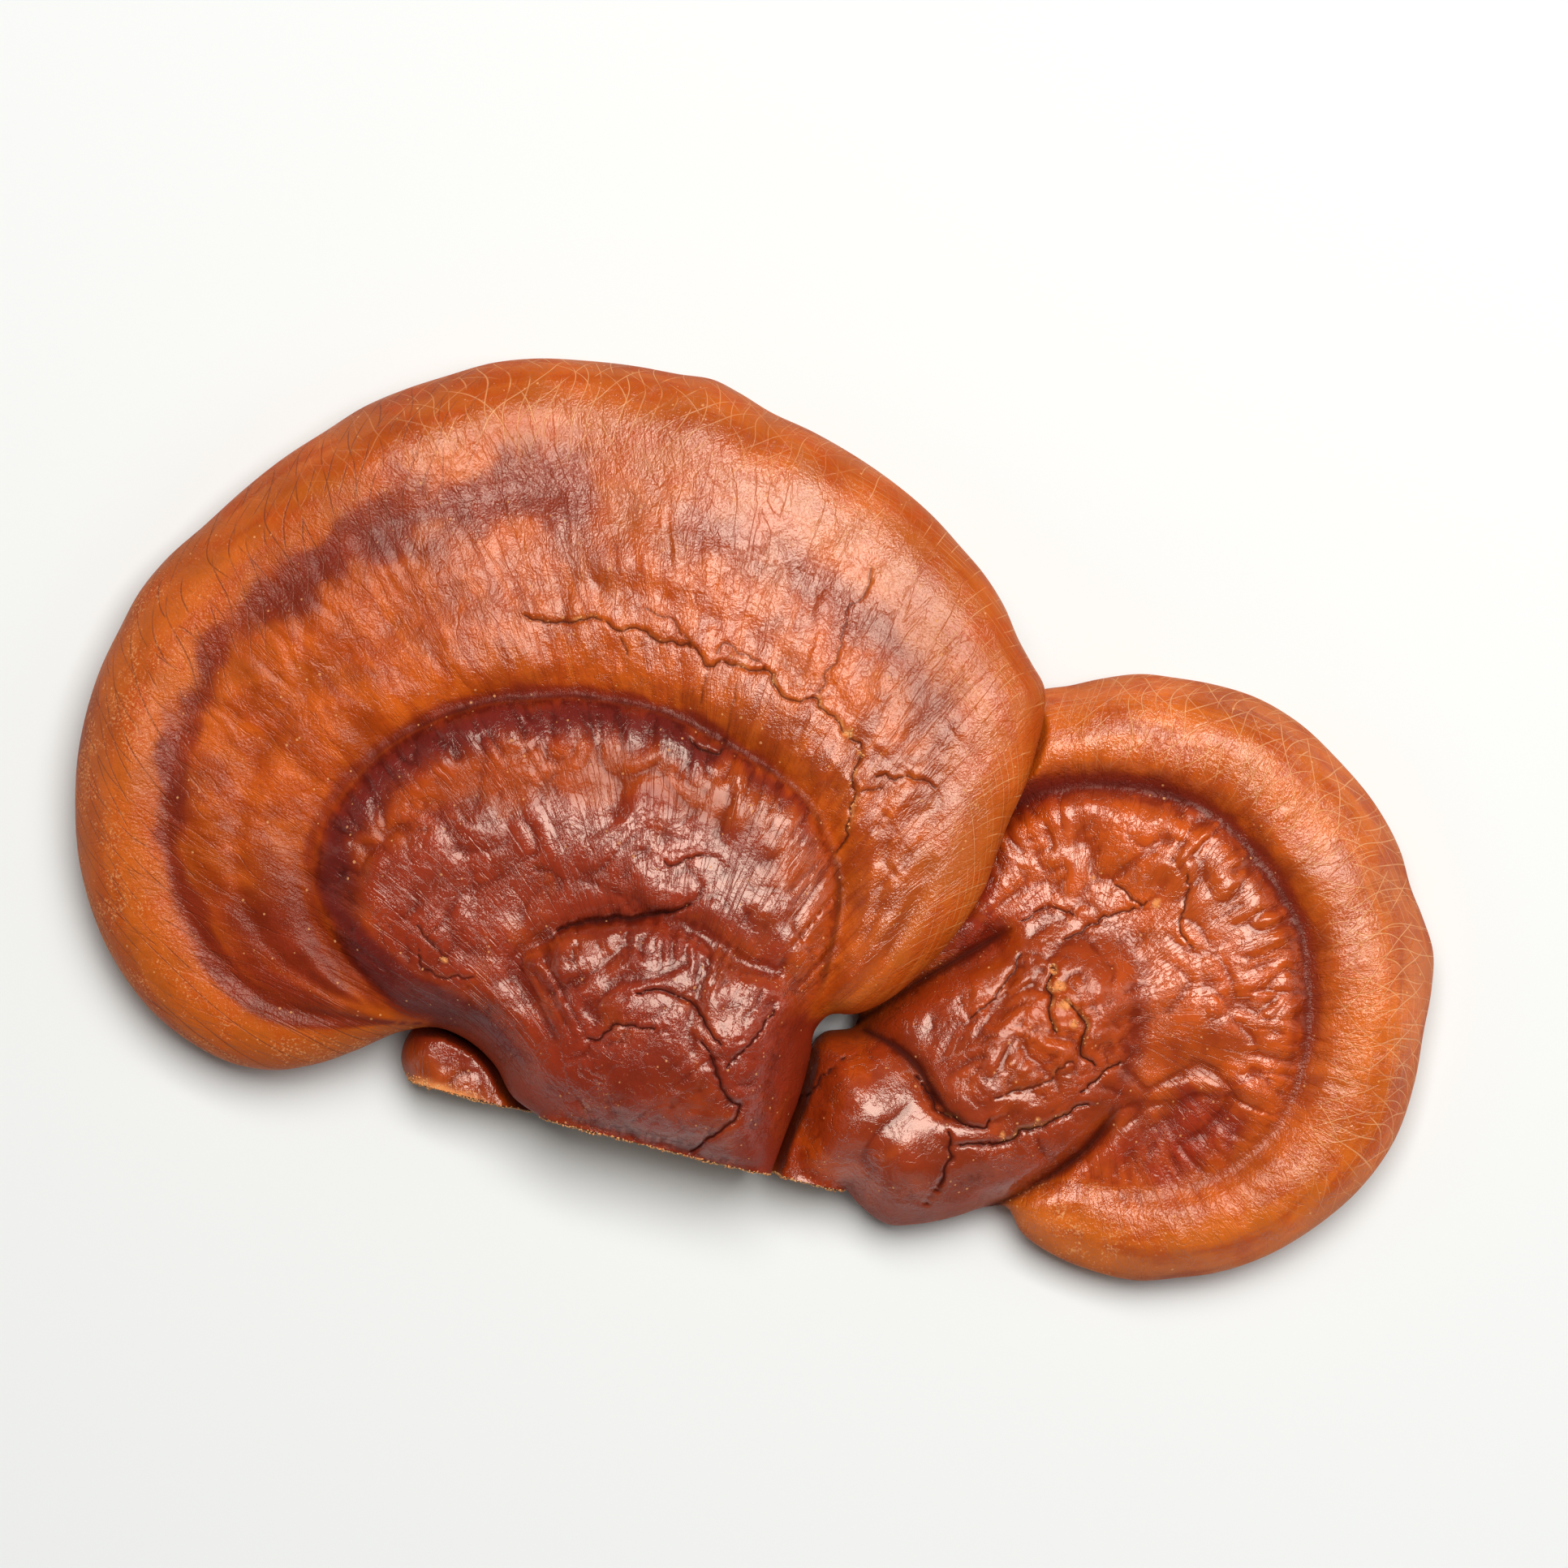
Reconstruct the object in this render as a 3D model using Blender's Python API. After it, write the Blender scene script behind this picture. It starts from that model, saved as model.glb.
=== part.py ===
"""Reishi mushroom: two lacquered brackets and a side lobe that grew together and were cut off their log.

Lengths are in millimetres until each mesh is made, in metres. The cluster lies on its pore side, +Z up.
The origin is the middle of its footprint on the surface it lies on. The cut that freed it from the log
is a flat upright face on the -Y side.
"""

import bpy
import numpy as np
from mathutils import Vector
from mathutils.kdtree import KDTree
from mathutils.geometry import delaunay_2d_cdt

METRES = 0.001
MEET_GAP = 0.5

# Driving sizes of the growth
RIM_ROLL = 12.0
UNDER_ROLL = 9.0
LIP_STEP = 3.2
GROOVE_DEPTH = 3.4
BOSS_LIFT = 5.0

# Spacing of the facets
TOP_FACET = 3.7
UNDER_FACET = 6.5
EDGE_FACET = 3.3
CRACK_HALF = 1.7

# How far in from the margin the rows of facets on its roll lie
TOP_ROWS = (1.1, 4.2, 9.0)
UNDER_ROWS = (1.1, 4.5, 9.0)

# The straight line, seen from above, along which the cluster was cut off its log
CUT_LEFT = (-64.5, -48.2)
CUT_RIGHT = (3.0, -65.2)


# Curves and distances


def curve_through(points, closed=True, step=1.0):
    """Even points along a smooth curve through the chosen points."""
    p = np.array(points, float)
    if closed:
        p = np.vstack([p[-1:], p, p[:2]])
    else:
        p = np.vstack([2 * p[:1] - p[1:2], p, 2 * p[-1:] - p[-2:-1]])
    fine = []
    for a, b, c, d in zip(p, p[1:], p[2:], p[3:]):
        ab, bc, cd = (np.linalg.norm(v) for v in (b - a, c - b, d - c))
        leave = ((c - b) * ab / bc + (b - a) * bc / ab) / (ab + bc) * bc
        arrive = ((d - c) * bc / cd + (c - b) * cd / bc) / (bc + cd) * bc
        t = np.linspace(0, 1, 17)[:-1, None]
        blend = t * t * (3 - 2 * t)
        fine.append(b * (1 - blend) + c * blend + leave * t * (1 - t) ** 2 - arrive * t * t * (1 - t))
    line = np.vstack(fine + [p[1:2] if closed else p[-2:-1]])
    along = np.concatenate([[0], np.cumsum(np.linalg.norm(np.diff(line, axis=0), axis=1))])
    count = max(2, round(along[-1] / step))
    places = np.linspace(0, along[-1], count + 1)
    if closed:
        places = places[:-1]
    return np.stack([np.interp(places, along, line[:, k]) for k in (0, 1)], axis=1)


def from_line(xy, line, closed=False):
    """How far each point lies from a line of short straight runs, above zero on its left side."""
    tree = KDTree(len(line))
    for k, (x, y) in enumerate(line):
        tree.insert((x, y, 0), k)
    tree.balance()
    nearest = np.array([tree.find((x, y, 0))[1] for x, y in xy])
    distance = np.full(len(xy), np.inf)
    side = np.ones(len(xy))
    for start in (nearest - 1, nearest):
        start = start % len(line) if closed else np.clip(start, 0, len(line) - 2)
        run = line[(start + 1) % len(line)] - line[start]
        share = np.clip(((xy - line[start]) * run).sum(1) / (run * run).sum(1), 0, 1)
        gap = xy - line[start] - share[:, None] * run
        far = np.hypot(*gap.T)
        turn = run[:, 0] * gap[:, 1] - run[:, 1] * gap[:, 0]
        side = np.where(far < distance, np.where(turn < 0, -1, 1), side)
        distance = np.minimum(distance, far)
    return distance * side


def inside(xy, loop):
    """True for each point that a closed loop goes round."""
    crossings = np.zeros(len(xy), int)
    for (ax, ay), (bx, by) in zip(loop, np.roll(loop, -1, axis=0)):
        if ay == by:
            continue
        spans = (ay > xy[:, 1]) != (by > xy[:, 1])
        crossings += spans & (xy[:, 0] < (bx - ax) * (xy[:, 1] - ay) / (by - ay) + ax)
    return crossings % 2 == 1


def outside_of(xy, loop):
    """The distance from a closed loop whose points run clockwise, below zero inside it."""
    return from_line(xy, loop, closed=True)


def spots(xy, places, reach=26.0):
    """A smooth level that passes near the chosen (x, y, level) spots."""
    near = [np.exp(-(((xy - (x, y)) ** 2).sum(1)) / reach**2) + 1e-9 for x, y, _ in places]
    return sum(w * level for w, (_, _, level) in zip(near, places)) / sum(near)


def ease(value, start, end):
    """0 before start, 1 after end, and smooth between."""
    t = np.clip((value - start) / (end - start), 0, 1)
    return t * t * (3 - 2 * t)


def hump(value, width):
    return np.exp(-((value / width) ** 2))


def roll(depth, radius):
    """The rise of a rounded margin: 0 at its edge, 1 once a radius in."""
    return np.sqrt(1 - (1 - np.clip(depth / radius, 0, 1)) ** 2)


def cut_line_y(x):
    (ax, ay), (bx, by) = CUT_LEFT, CUT_RIGHT
    return ay + (x - ax) * (by - ay) / (bx - ax)


def on_cut(xy):
    return np.abs(xy[:, 1] - cut_line_y(xy[:, 0])) < 0.02


# The large bracket: a fan that grew from the cut upwards and to the left

LARGE_MARGIN = [
    (-40.0, cut_line_y(-40.0)), (-44.5, -51.0), (-48.0, -45.0), (-53.0, -40.5), (-58.5, -38.3),
    (-65.0, -39.0), (-73.5, -42.5), (-80.5, -45.0), (-90.0, -46.3), (-97.5, -44.8), (-104.5, -41.2),
    (-110.5, -36.6), (-115.7, -30.6), (-120.3, -23.0), (-123.4, -15.0), (-125.4, -6.0), (-125.9, 3.0),
    (-125.4, 12.0), (-123.8, 20.0), (-121.2, 28.0), (-117.7, 35.3), (-113.8, 42.5), (-109.0, 48.3),
    (-102.0, 54.5), (-94.5, 61.3), (-87.0, 67.2), (-79.5, 72.0), (-72.5, 76.4), (-64.5, 79.8),
    (-57.0, 82.2), (-48.5, 84.6), (-40.5, 85.4), (-31.5, 85.0), (-22.5, 84.0), (-14.0, 82.4),
    (-7.5, 81.3), (-3.0, 79.0), (3.0, 75.3), (10.5, 71.8), (18.0, 67.5), (25.5, 62.3), (33.0, 55.8),
    (38.0, 50.2), (42.0, 45.5), (45.8, 39.5), (48.7, 32.8), (51.0, 28.6), (53.2, 24.5), (53.2, 19.5),
    (51.8, 13.2), (49.6, 6.0), (46.6, -0.6), (44.2, -7.0), (42.4, -12.2), (39.2, -17.8), (35.2, -23.2),
    (30.2, -28.4), (24.6, -33.0), (18.5, -35.7), (13.5, -36.0), (11.2, -38.5), (10.2, -43.5),
    (8.4, -50.5), (5.6, -58.0), (3.0, cut_line_y(3.0)),
]

# The groove round the disc of the first season, and the pad where the stem entered the log
LARGE_DISC = [
    (-64.5, -35.7), (-70.5, -30.7), (-75.0, -25.5), (-78.8, -18.0), (-80.6, -10.5), (-80.0, -4.0),
    (-77.2, 2.0), (-72.7, 8.0), (-67.5, 12.8), (-61.5, 16.5), (-55.0, 19.3), (-48.0, 21.2),
    (-40.5, 22.0), (-33.0, 22.2), (-25.5, 21.3), (-18.0, 19.6), (-12.0, 17.2), (-6.0, 14.0),
    (-1.0, 11.0), (4.5, 7.5), (9.0, 3.7), (12.2, -1.5), (14.4, -7.0), (15.2, -12.0), (14.8, -18.0),
    (13.2, -25.5), (11.8, -31.5), (9.8, -37.0), (8.8, -43.5), (7.0, -50.5), (3.0, -62.0),
    (-20.0, -58.0), (-38.0, -53.0), (-46.5, -44.5), (-52.5, -39.0), (-58.5, -37.2),
]
LARGE_BOSS = [
    (-42.0, -25.8), (-37.0, -22.3), (-33.5, -19.6), (-28.0, -18.9), (-21.5, -18.6), (-16.0, -19.6),
    (-10.5, -21.6), (-5.5, -25.0), (-0.5, -27.8), (4.5, -29.6), (7.6, -33.0), (7.6, -39.0),
    (5.8, -46.0), (2.0, -53.5), (-3.5, -58.5), (-12.0, -60.5), (-22.0, -58.5), (-29.5, -53.5),
    (-34.5, -46.0), (-37.0, -38.0), (-39.5, -31.5),
]
INNER_LIP = [
    (-73.0, -19.0), (-69.0, -9.0), (-61.0, -1.5), (-49.0, 2.2), (-34.0, 3.2), (-19.0, 2.2),
    (-7.0, -2.2), (2.0, -9.0), (6.5, -18.0),
]

LARGE_TOP = [
    (-112, 0, 19.0), (-98, 48, 19.0), (-45, 72, 20.5), (15, 55, 25.5), (42, 18, 29.5), (28, -22, 29.5),
    (-92, -33, 18.5), (-92, 8, 22.5), (-72, 38, 24.5), (-38, 40, 26.5), (0, 36, 28.5), (24, 12, 30.5),
    (-66, -8, 27.0), (-38, 10, 28.5), (2, -6, 31.0), (-30, -8, 30.0), (-16, -36, 34.0),
    (-52, -32, 26.5), (-40, -48, 24.0), (-20, -60, 25.5), (-2, -62, 25.0), (6, -46, 28.0),
]
LARGE_EDGE = [
    (-125, 0, 9.0), (-102, 54, 9.0), (-45, 85, 9.5), (5, 74, 12.0), (38, 50, 17.0), (53, 22, 20.5),
    (43, -10, 21.5), (20, -36, 20.5), (-90, -46, 9.0), (-118, -28, 9.0), (-70, -40, 14.0),
    (-50, -42, 18.5), (-40, -54, 17.0), (10, -46, 17.0), (3, -64, 15.0),
]
LARGE_FLOOR = [
    (-112, 0, -2.0), (-94, 46, -2.0), (-45, 74, -2.0), (0, 62, 2.5), (35, 38, 9.0), (42, 8, 13.5),
    (24, -24, 13.5), (-86, -36, -1.5), (-70, 5, 5.5), (-40, 30, 6.0), (0, 15, 7.5), (-60, -25, 5.5),
    (-48, -42, 8.0), (-30, -34, 1.0), (-14, -48, -2.5), (-4, -60, -2.0), (-28, -56, -2.0),
]
PURPLE_RING = 0.6
CRACK_LINE = 0.33


def large_top(xy):
    """The lacquered upper skin: rim, purple growth ring, cracked band, groove, disc and boss."""
    margin = curve_through(LARGE_MARGIN, closed=False)
    depth = abs(from_line(xy, margin))
    out_of_disc = outside_of(xy, curve_through(LARGE_DISC))
    out_of_boss = outside_of(xy, curve_through(LARGE_BOSS))
    grown = np.clip(out_of_disc, 0, None) / (np.clip(out_of_disc, 0, None) + depth + 1e-6)
    bands = ease(out_of_disc, 0, 6) * ease(depth, 0, 8)
    relief = LIP_STEP * ease(-out_of_disc, -0.5, 3.5)
    relief -= GROOVE_DEPTH * hump(out_of_disc, 4.2) * ease(depth, 1, 9)
    relief += bands * 1.6 * np.sin(np.pi * np.clip(grown / PURPLE_RING, 0, 1))
    relief -= bands * 1.1 * hump(grown - CRACK_LINE, 0.05)
    relief -= bands * 1.5 * hump(grown - PURPLE_RING, 0.06)
    relief += bands * 1.8 * np.sin(np.pi * np.clip((grown - PURPLE_RING) / (1 - PURPLE_RING), 0, 1))
    relief += BOSS_LIFT * ease(-out_of_boss, -2.0, 5.0) - 1.4 * hump(out_of_boss - 1.5, 2.6)
    past_lip = from_line(xy, curve_through(INNER_LIP, closed=False))
    relief -= 1.1 * ease(-past_lip, -2.5, 2.5) * (out_of_disc < 0)
    relief += cracks(xy, LARGE_CRACKS) + 0.5 * lumps(xy, 19.0)
    crown = spots(xy, LARGE_TOP) + relief
    edge = spots(xy, LARGE_EDGE)
    return edge + (crown - edge) * roll(depth, RIM_ROLL)


def large_under(xy, grown_by=0.0):
    """The pore side: it rests under the rim and the base, and arches between them."""
    margin = curve_through(LARGE_MARGIN, closed=False)
    depth = abs(from_line(xy, margin))
    if grown_by:
        depth = np.where(inside(xy, margin), depth, -depth) + grown_by
    edge = spots(xy, LARGE_EDGE)
    floor = np.clip(spots(xy, LARGE_FLOOR), 0, None)
    return edge - (edge - floor) * roll(depth, UNDER_ROLL)


# Cracks and creases that are wide enough to see from a step away, each with its depth
LARGE_CRACKS = [
    (1.1, [(-38.2, 36.5), (-28.5, 36.6), (-20.5, 34.8), (-12.5, 31.8), (-8.5, 28.3), (0.0, 27.2), (5.5, 22.6),
           (11.5, 21.6), (15.8, 17.2), (19.3, 13.0), (18.3, 6.0), (17.2, 0.0), (15.2, -6.0)]),
    (0.9, [(20.5, 42.0), (17.0, 38.0), (15.8, 32.0), (12.6, 25.5), (11.7, 22.5)]),
    (2.2, [(-36.0, -20.5), (-30.0, -18.2), (-22.0, -17.6), (-14.0, -16.4), (-11.5, -15.5)]),
    (1.6, [(-21.0, -31.0), (-15.0, -31.5), (-10.0, -35.0), (-7.0, -39.8), (-7.5, -45.0), (-4.5, -50.5),
           (-3.2, -54.5), (-9.0, -58.8)]),
    (1.2, [(-28.5, -39.9), (-25.5, -37.3), (-17.0, -37.4)]),
    (1.2, [(-5.0, -44.5), (-1.0, -41.0), (3.6, -35.4)]),
    (1.0, [(-61.5, -19.0), (-59.5, -22.2), (-56.5, -25.2), (-51.5, -28.6)]),
]
SMALL_CRACKS = [
    (2.4, [(30.0, -47.0), (33.5, -53.0), (38.5, -56.0), (43.5, -55.0)]),
    (2.2, [(38.0, -59.3), (46.0, -58.8), (54.0, -55.5), (61.0, -52.0)]),
    (1.6, [(55.0, -27.0), (54.4, -33.0), (58.5, -34.6), (61.0, -38.2), (60.0, -43.0)]),
    (1.5, [(8.0, -52.5), (12.5, -47.5), (17.0, -43.6)]),
    (1.2, [(66.0, -11.5), (71.0, -15.5), (78.8, -17.0), (79.6, -23.0)]),
    (1.4, [(49.0, -18.5), (56.0, -16.2), (62.0, -18.6), (70.0, -16.4)]),
]


def cracks(xy, lines):
    """The depth that the cracks take off the skin."""
    distances = [from_line(xy, curve_through(line, closed=False)) for _, line in lines]
    return -sum(deep * hump(distance, CRACK_HALF) for (deep, _), distance in zip(lines, distances))


def lumps(xy, size):
    """Slow swells of the skin, between about -1 and 1."""
    x, y = xy.T / size
    return np.sin(1.9 * x + 1.3 * np.sin(1.1 * y + 0.4)) * np.sin(1.7 * y + 1.1 * np.sin(1.3 * x + 2.0))


# The small bracket: a round cap on a knobbly stem, tucked under the large one's right margin

SMALL_MARGIN = [
    (1.8, cut_line_y(1.8)), (3.8, -58.5), (6.8, -51.5), (9.0, -44.5),
    (12.6, -39.6), (18.5, -38.3),
    (20.0, -33.5), (23.0, -27.5), (27.5, -22.0), (31.5, -16.0), (34.5, -10.0), (37.5, -3.0),
    (40.5, 5.0), (43.0, 13.0), (46.5, 20.5), (50.0, 23.4), (54.0, 24.3), (58.0, 24.8), (63.5, 26.0),
    (72.0, 27.0), (78.0, 26.3),
    (84.5, 25.2), (93.0, 22.6), (100.5, 18.2), (108.0, 11.2), (115.2, 2.5), (119.7, -6.0),
    (121.6, -12.7), (123.8, -18.2), (125.7, -24.5), (125.4, -31.5), (124.0, -39.0), (122.2, -49.0),
    (118.5, -59.5), (112.5, -68.0), (104.0, -75.4), (94.5, -81.0), (85.5, -84.0), (78.0, -85.0),
    (71.5, -85.5), (63.0, -83.8), (55.5, -80.8), (49.5, -76.6), (46.2, -71.6), (43.0, -71.8),
    (37.0, -73.6), (30.0, -75.0), (24.5, -75.0), (20.0, -72.0),
    (17.0, cut_line_y(17.0)),
]
SMALL_DISC = [
    (42.0, -1.5), (48.0, 2.3), (54.0, 5.2), (61.5, 6.3), (70.0, 6.0), (78.0, 3.8), (85.5, 0.0),
    (91.5, -6.0), (96.8, -13.5), (100.5, -21.0), (101.9, -30.0), (101.8, -37.5), (100.4, -46.5),
    (97.4, -54.0), (92.2, -60.0), (85.5, -64.5), (78.0, -66.3), (71.0, -65.0), (66.5, -61.0),
    (64.8, -56.5), (60.5, -60.0), (55.0, -64.3), (50.0, -67.6), (45.0, -69.8), (38.0, -71.4),
    (28.0, -72.8), (20.0, -69.5), (9.0, -64.0), (11.5, -52.0), (14.5, -41.5), (21.0, -37.0),
    (25.5, -28.0), (32.0, -18.0), (37.0, -8.0),
]
SMALL_TOP = [
    (55, 17, 16.0), (73, 17, 18.0), (98, 4, 18.5), (113, -25, 18.5), (108, -58, 17.5), (78, -77, 16.0),
    (58, -75, 12.5), (86, -30, 19.0), (68, -2, 18.0), (88, -8, 18.0), (48, -10, 12.5), (36, -14, 14.0),
    (42, 6, 15.0), (26, -26, 13.5),
    (60, -12, 15.0), (57, -38, 24.5), (44, -44, 23.5), (28, -42, 18.0), (19, -52, 21.0), (26, -67, 19.0),
    (10, -60, 17.0), (46, -60, 21.5), (75, -55, 15.0), (90, -50, 17.0), (37, -33, 19.0),
]
KNOBS = [(20.0, -50.0, 7.5, 4.0), (26.5, -63.0, 7.0, 2.0), (42.0, -47.5, 8.0, 1.5), (63.0, -31.0, 7.0, 1.2)]
SMALL_EDGE = [
    (72, 27, 8.5), (125, -25, 8.5), (72, -85, 8.0), (48, -75, 8.0), (25, -74, 10.0), (5, -62, 4.0),
    (6, -52, 4.0), (12, -41, 6.0), (22, -30, 4.5), (36, -8, 5.0), (44, 12, 6.5), (104, 14, 8.5),
    (112, -68, 8.5),
]
SMALL_FLOOR = [
    (72, 14, -1.0), (114, -25, -2.0), (75, -76, -2.0), (104, 4, -1.5), (108, -58, -2.0), (74, -28, 4.5),
    (50, -30, 2.5), (28, -56, -1.5), (45, -55, 0.0), (58, 8, 0.5), (10, -58, -1.0),
]

# The dark crevice above the stem, the fold between its knob and its arm, the fold round its far end, and
# the edge of the arm above the rim's lower end
STEM_CREVICE = [(19.0, -37.5), (25.0, -33.5), (31.0, -29.5), (38.0, -25.5), (44.0, -22.0), (50.0, -18.5)]
KNOB_FOLD = [(20.5, -39.0), (25.5, -41.5), (30.0, -45.5), (33.0, -50.5), (36.5, -54.5), (41.5, -55.8)]
HEAD_FOLD = [(68.0, -22.0), (70.2, -30.0), (70.5, -36.0), (69.0, -43.0), (67.0, -51.0)]
ARM_EDGE = [(43.5, -72.0), (50.0, -68.6), (56.0, -65.0), (61.5, -60.5), (66.0, -55.0), (69.0, -50.0)]


def small_top(xy):
    """The lacquered upper skin: rolled rim, groove, wrinkled disc, and the stem's arm and knob."""
    depth = abs(from_line(xy, curve_through(SMALL_MARGIN, closed=False)))
    out_of_disc = outside_of(xy, curve_through(SMALL_DISC))
    grown = np.clip(out_of_disc, 0, None) / (np.clip(out_of_disc, 0, None) + depth + 1e-6)
    relief = 1.5 * ease(-out_of_disc, -0.5, 3.5)
    relief -= 4.2 * hump(out_of_disc, 3.8) * ease(depth, 1, 9)
    relief += 3.0 * np.sin(np.pi * grown) * ease(out_of_disc, 0, 5)
    relief -= 5.0 * hump(from_line(xy, curve_through(STEM_CREVICE, closed=False)), 3.2)
    relief -= 3.4 * hump(from_line(xy, curve_through(KNOB_FOLD, closed=False)), 2.6)
    relief -= 2.4 * hump(from_line(xy, curve_through(HEAD_FOLD, closed=False)), 4.5)
    relief -= 4.0 * hump(from_line(xy, curve_through(ARM_EDGE, closed=False)), 2.2)
    relief += sum(lift * hump(np.hypot(*(xy - (x, y)).T), reach) for x, y, reach, lift in KNOBS)
    relief += cracks(xy, SMALL_CRACKS) + 0.5 * lumps(xy, 15.0)
    crown = spots(xy, SMALL_TOP, reach=15.0) + relief
    edge = spots(xy, SMALL_EDGE)
    free = edge + (crown - edge) * roll(depth, RIM_ROLL)
    return below_large_bracket(xy, free)


def small_under(xy):
    depth = abs(from_line(xy, curve_through(SMALL_MARGIN, closed=False)))
    edge = spots(xy, SMALL_EDGE)
    floor = np.clip(spots(xy, SMALL_FLOOR), 0, None)
    return edge - (edge - floor) * roll(depth, UNDER_ROLL)


def below_large_bracket(xy, level):
    """Holds a surface a gap below the large bracket's underside wherever that covers it."""
    margin = curve_through(LARGE_MARGIN, closed=False)
    reach = np.where(inside(xy, margin), 1, -1) * abs(from_line(xy, margin, closed=True))
    ceiling = large_under(xy, grown_by=2.0) - MEET_GAP
    return np.where(reach > -2.0, np.minimum(level, ceiling), level)


# The side lobe: a young bracket that shows below the large one's base

LOBE_MARGIN = [
    (-64.5, cut_line_y(-64.5)), (-65.7, -45.0), (-65.2, -41.5), (-62.0, -37.3), (-57.0, -35.6),
    (-51.5, -37.6), (-46.5, -42.2), (-42.8, -48.0), (-39.2, cut_line_y(-39.2)),
]
LOBE_TOP = [(-60, -42, 16.0), (-52, -48, 15.0), (-44, -50, 12.5)]
LOBE_EDGE = 5.0


def lobe_top(xy):
    depth = abs(from_line(xy, curve_through(LOBE_MARGIN, closed=False)))
    free = LOBE_EDGE + (spots(xy, LOBE_TOP) - LOBE_EDGE) * roll(depth, 7.0)
    return below_large_bracket(xy, free)


def lobe_under(xy):
    depth = abs(from_line(xy, curve_through(LOBE_MARGIN, closed=False)))
    return LOBE_EDGE - LOBE_EDGE * roll(depth, 6.0)


# Faceted solids from an outline and two surfaces


def with_cut(margin):
    """The whole outline, anticlockwise: a margin from cut to cut, closed along that straight line."""
    line = curve_through(margin, closed=False, step=EDGE_FACET)
    start, end = line[0], line[-1]
    count = max(2, round(np.linalg.norm(end - start) / EDGE_FACET))
    along = np.linspace(0, 1, count + 1)[1:-1, None]
    return np.vstack([line, end + (start - end) * along])[::-1]


def thinned(rows, spacing):
    """Drops each point that lies too near one kept before it, the earlier rows first."""
    cell = spacing / np.sqrt(2)
    kept = {}
    for x, y in np.vstack(rows):
        column, line = int(x // cell), int(y // cell)
        around = [kept.get((column + i, line + j)) for i in range(-2, 3) for j in range(-2, 3)]
        if all(p is None or (p[0] - x) ** 2 + (p[1] - y) ** 2 > spacing**2 for p in around):
            kept[column, line] = (x, y)
    return np.array(list(kept.values()))


def lattice(outline, spacing):
    low, high = outline.min(0), outline.max(0)
    rows = np.arange(low[1], high[1], spacing * np.sqrt(3) / 2)
    columns = np.arange(low[0], high[0], spacing)
    shift = spacing / 2 * (np.arange(len(rows)) % 2)
    x = columns[None, :] + shift[:, None]
    return np.column_stack([x.ravel(), np.repeat(rows, len(columns))])


def beside(line, offsets, closed=False):
    """Copies of a line, each moved to its left by an offset."""
    along = np.roll(line, -1, axis=0) - np.roll(line, 1, axis=0)
    if not closed:
        along[0], along[-1] = line[1] - line[0], line[-1] - line[-2]
    left = np.stack([-along[:, 1], along[:, 0]], 1) / np.hypot(*along.T)[:, None]
    return [line + offset * left for offset in offsets]


def sheet(outline, lines, depths, spacing):
    """Triangles over the outline's inside, with points along its margin and along the chosen lines."""
    rows = beside(outline, depths, closed=True) + lines + [lattice(outline, spacing)]
    inner = thinned(rows, 0.62 * spacing)
    inner = inner[inside(inner, outline) & (abs(from_line(inner, outline, closed=True)) > 0.8 * depths[0])]
    points = np.vstack([outline, inner])
    ring = [(k, (k + 1) % len(outline)) for k in range(len(outline))]
    found = delaunay_2d_cdt([Vector(p) for p in points], ring, [], 1, 1e-6)
    return points, [[found[3][corner][0] for corner in face] for face in found[2]]


def facet(name, outline, middle, top, under, lines, material):
    """One closed solid: an upper and a lower sheet that share the outline, with a flat wall at the cut."""
    count = len(outline)
    cut = on_cut(outline)
    upper, faces = sheet(outline, lines, TOP_ROWS, TOP_FACET)
    lower, lower_faces = sheet(outline, [], UNDER_ROWS, UNDER_FACET)
    high, low = top(upper), under(lower)
    rim = (high[:count] + low[:count]) / 2
    high[:count] = np.where(cut, high[:count], rim)
    twin = np.where(cut, 0, np.arange(count))
    twin = np.concatenate([twin, np.zeros(len(lower) - count, int)])
    apart = np.ones(len(lower), bool)
    apart[:count] = cut
    twin[apart] = len(upper) + np.arange(apart.sum())
    points = np.vstack([np.column_stack([upper, high]), np.column_stack([lower, low])[apart]])
    faces += [[int(twin[k]) for k in reversed(face)] for face in lower_faces]
    smooth_faces = len(faces)
    for k in range(count):
        after = (k + 1) % count
        if cut[k] or cut[after]:
            faces.append(list(dict.fromkeys((after, k, int(twin[k]), int(twin[after])))))
    mesh = bpy.data.meshes.new(name)
    mesh.from_pydata((points - (*middle, 0)) * METRES, [], faces)
    mesh.materials.append(material)
    for face in mesh.polygons:
        face.use_smooth = face.index < smooth_faces
    piece = bpy.data.objects.new(name, mesh)
    bpy.context.scene.collection.objects.link(piece)


def skin(name, colour, roughness):
    material = bpy.data.materials.new(name)
    material.use_nodes = True
    shader = material.node_tree.nodes["Principled BSDF"]
    shader.inputs["Base Color"].default_value = (*colour, 1)
    shader.inputs["Roughness"].default_value = roughness
    shader.inputs["Metallic"].default_value = 0.0
    return material


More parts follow.
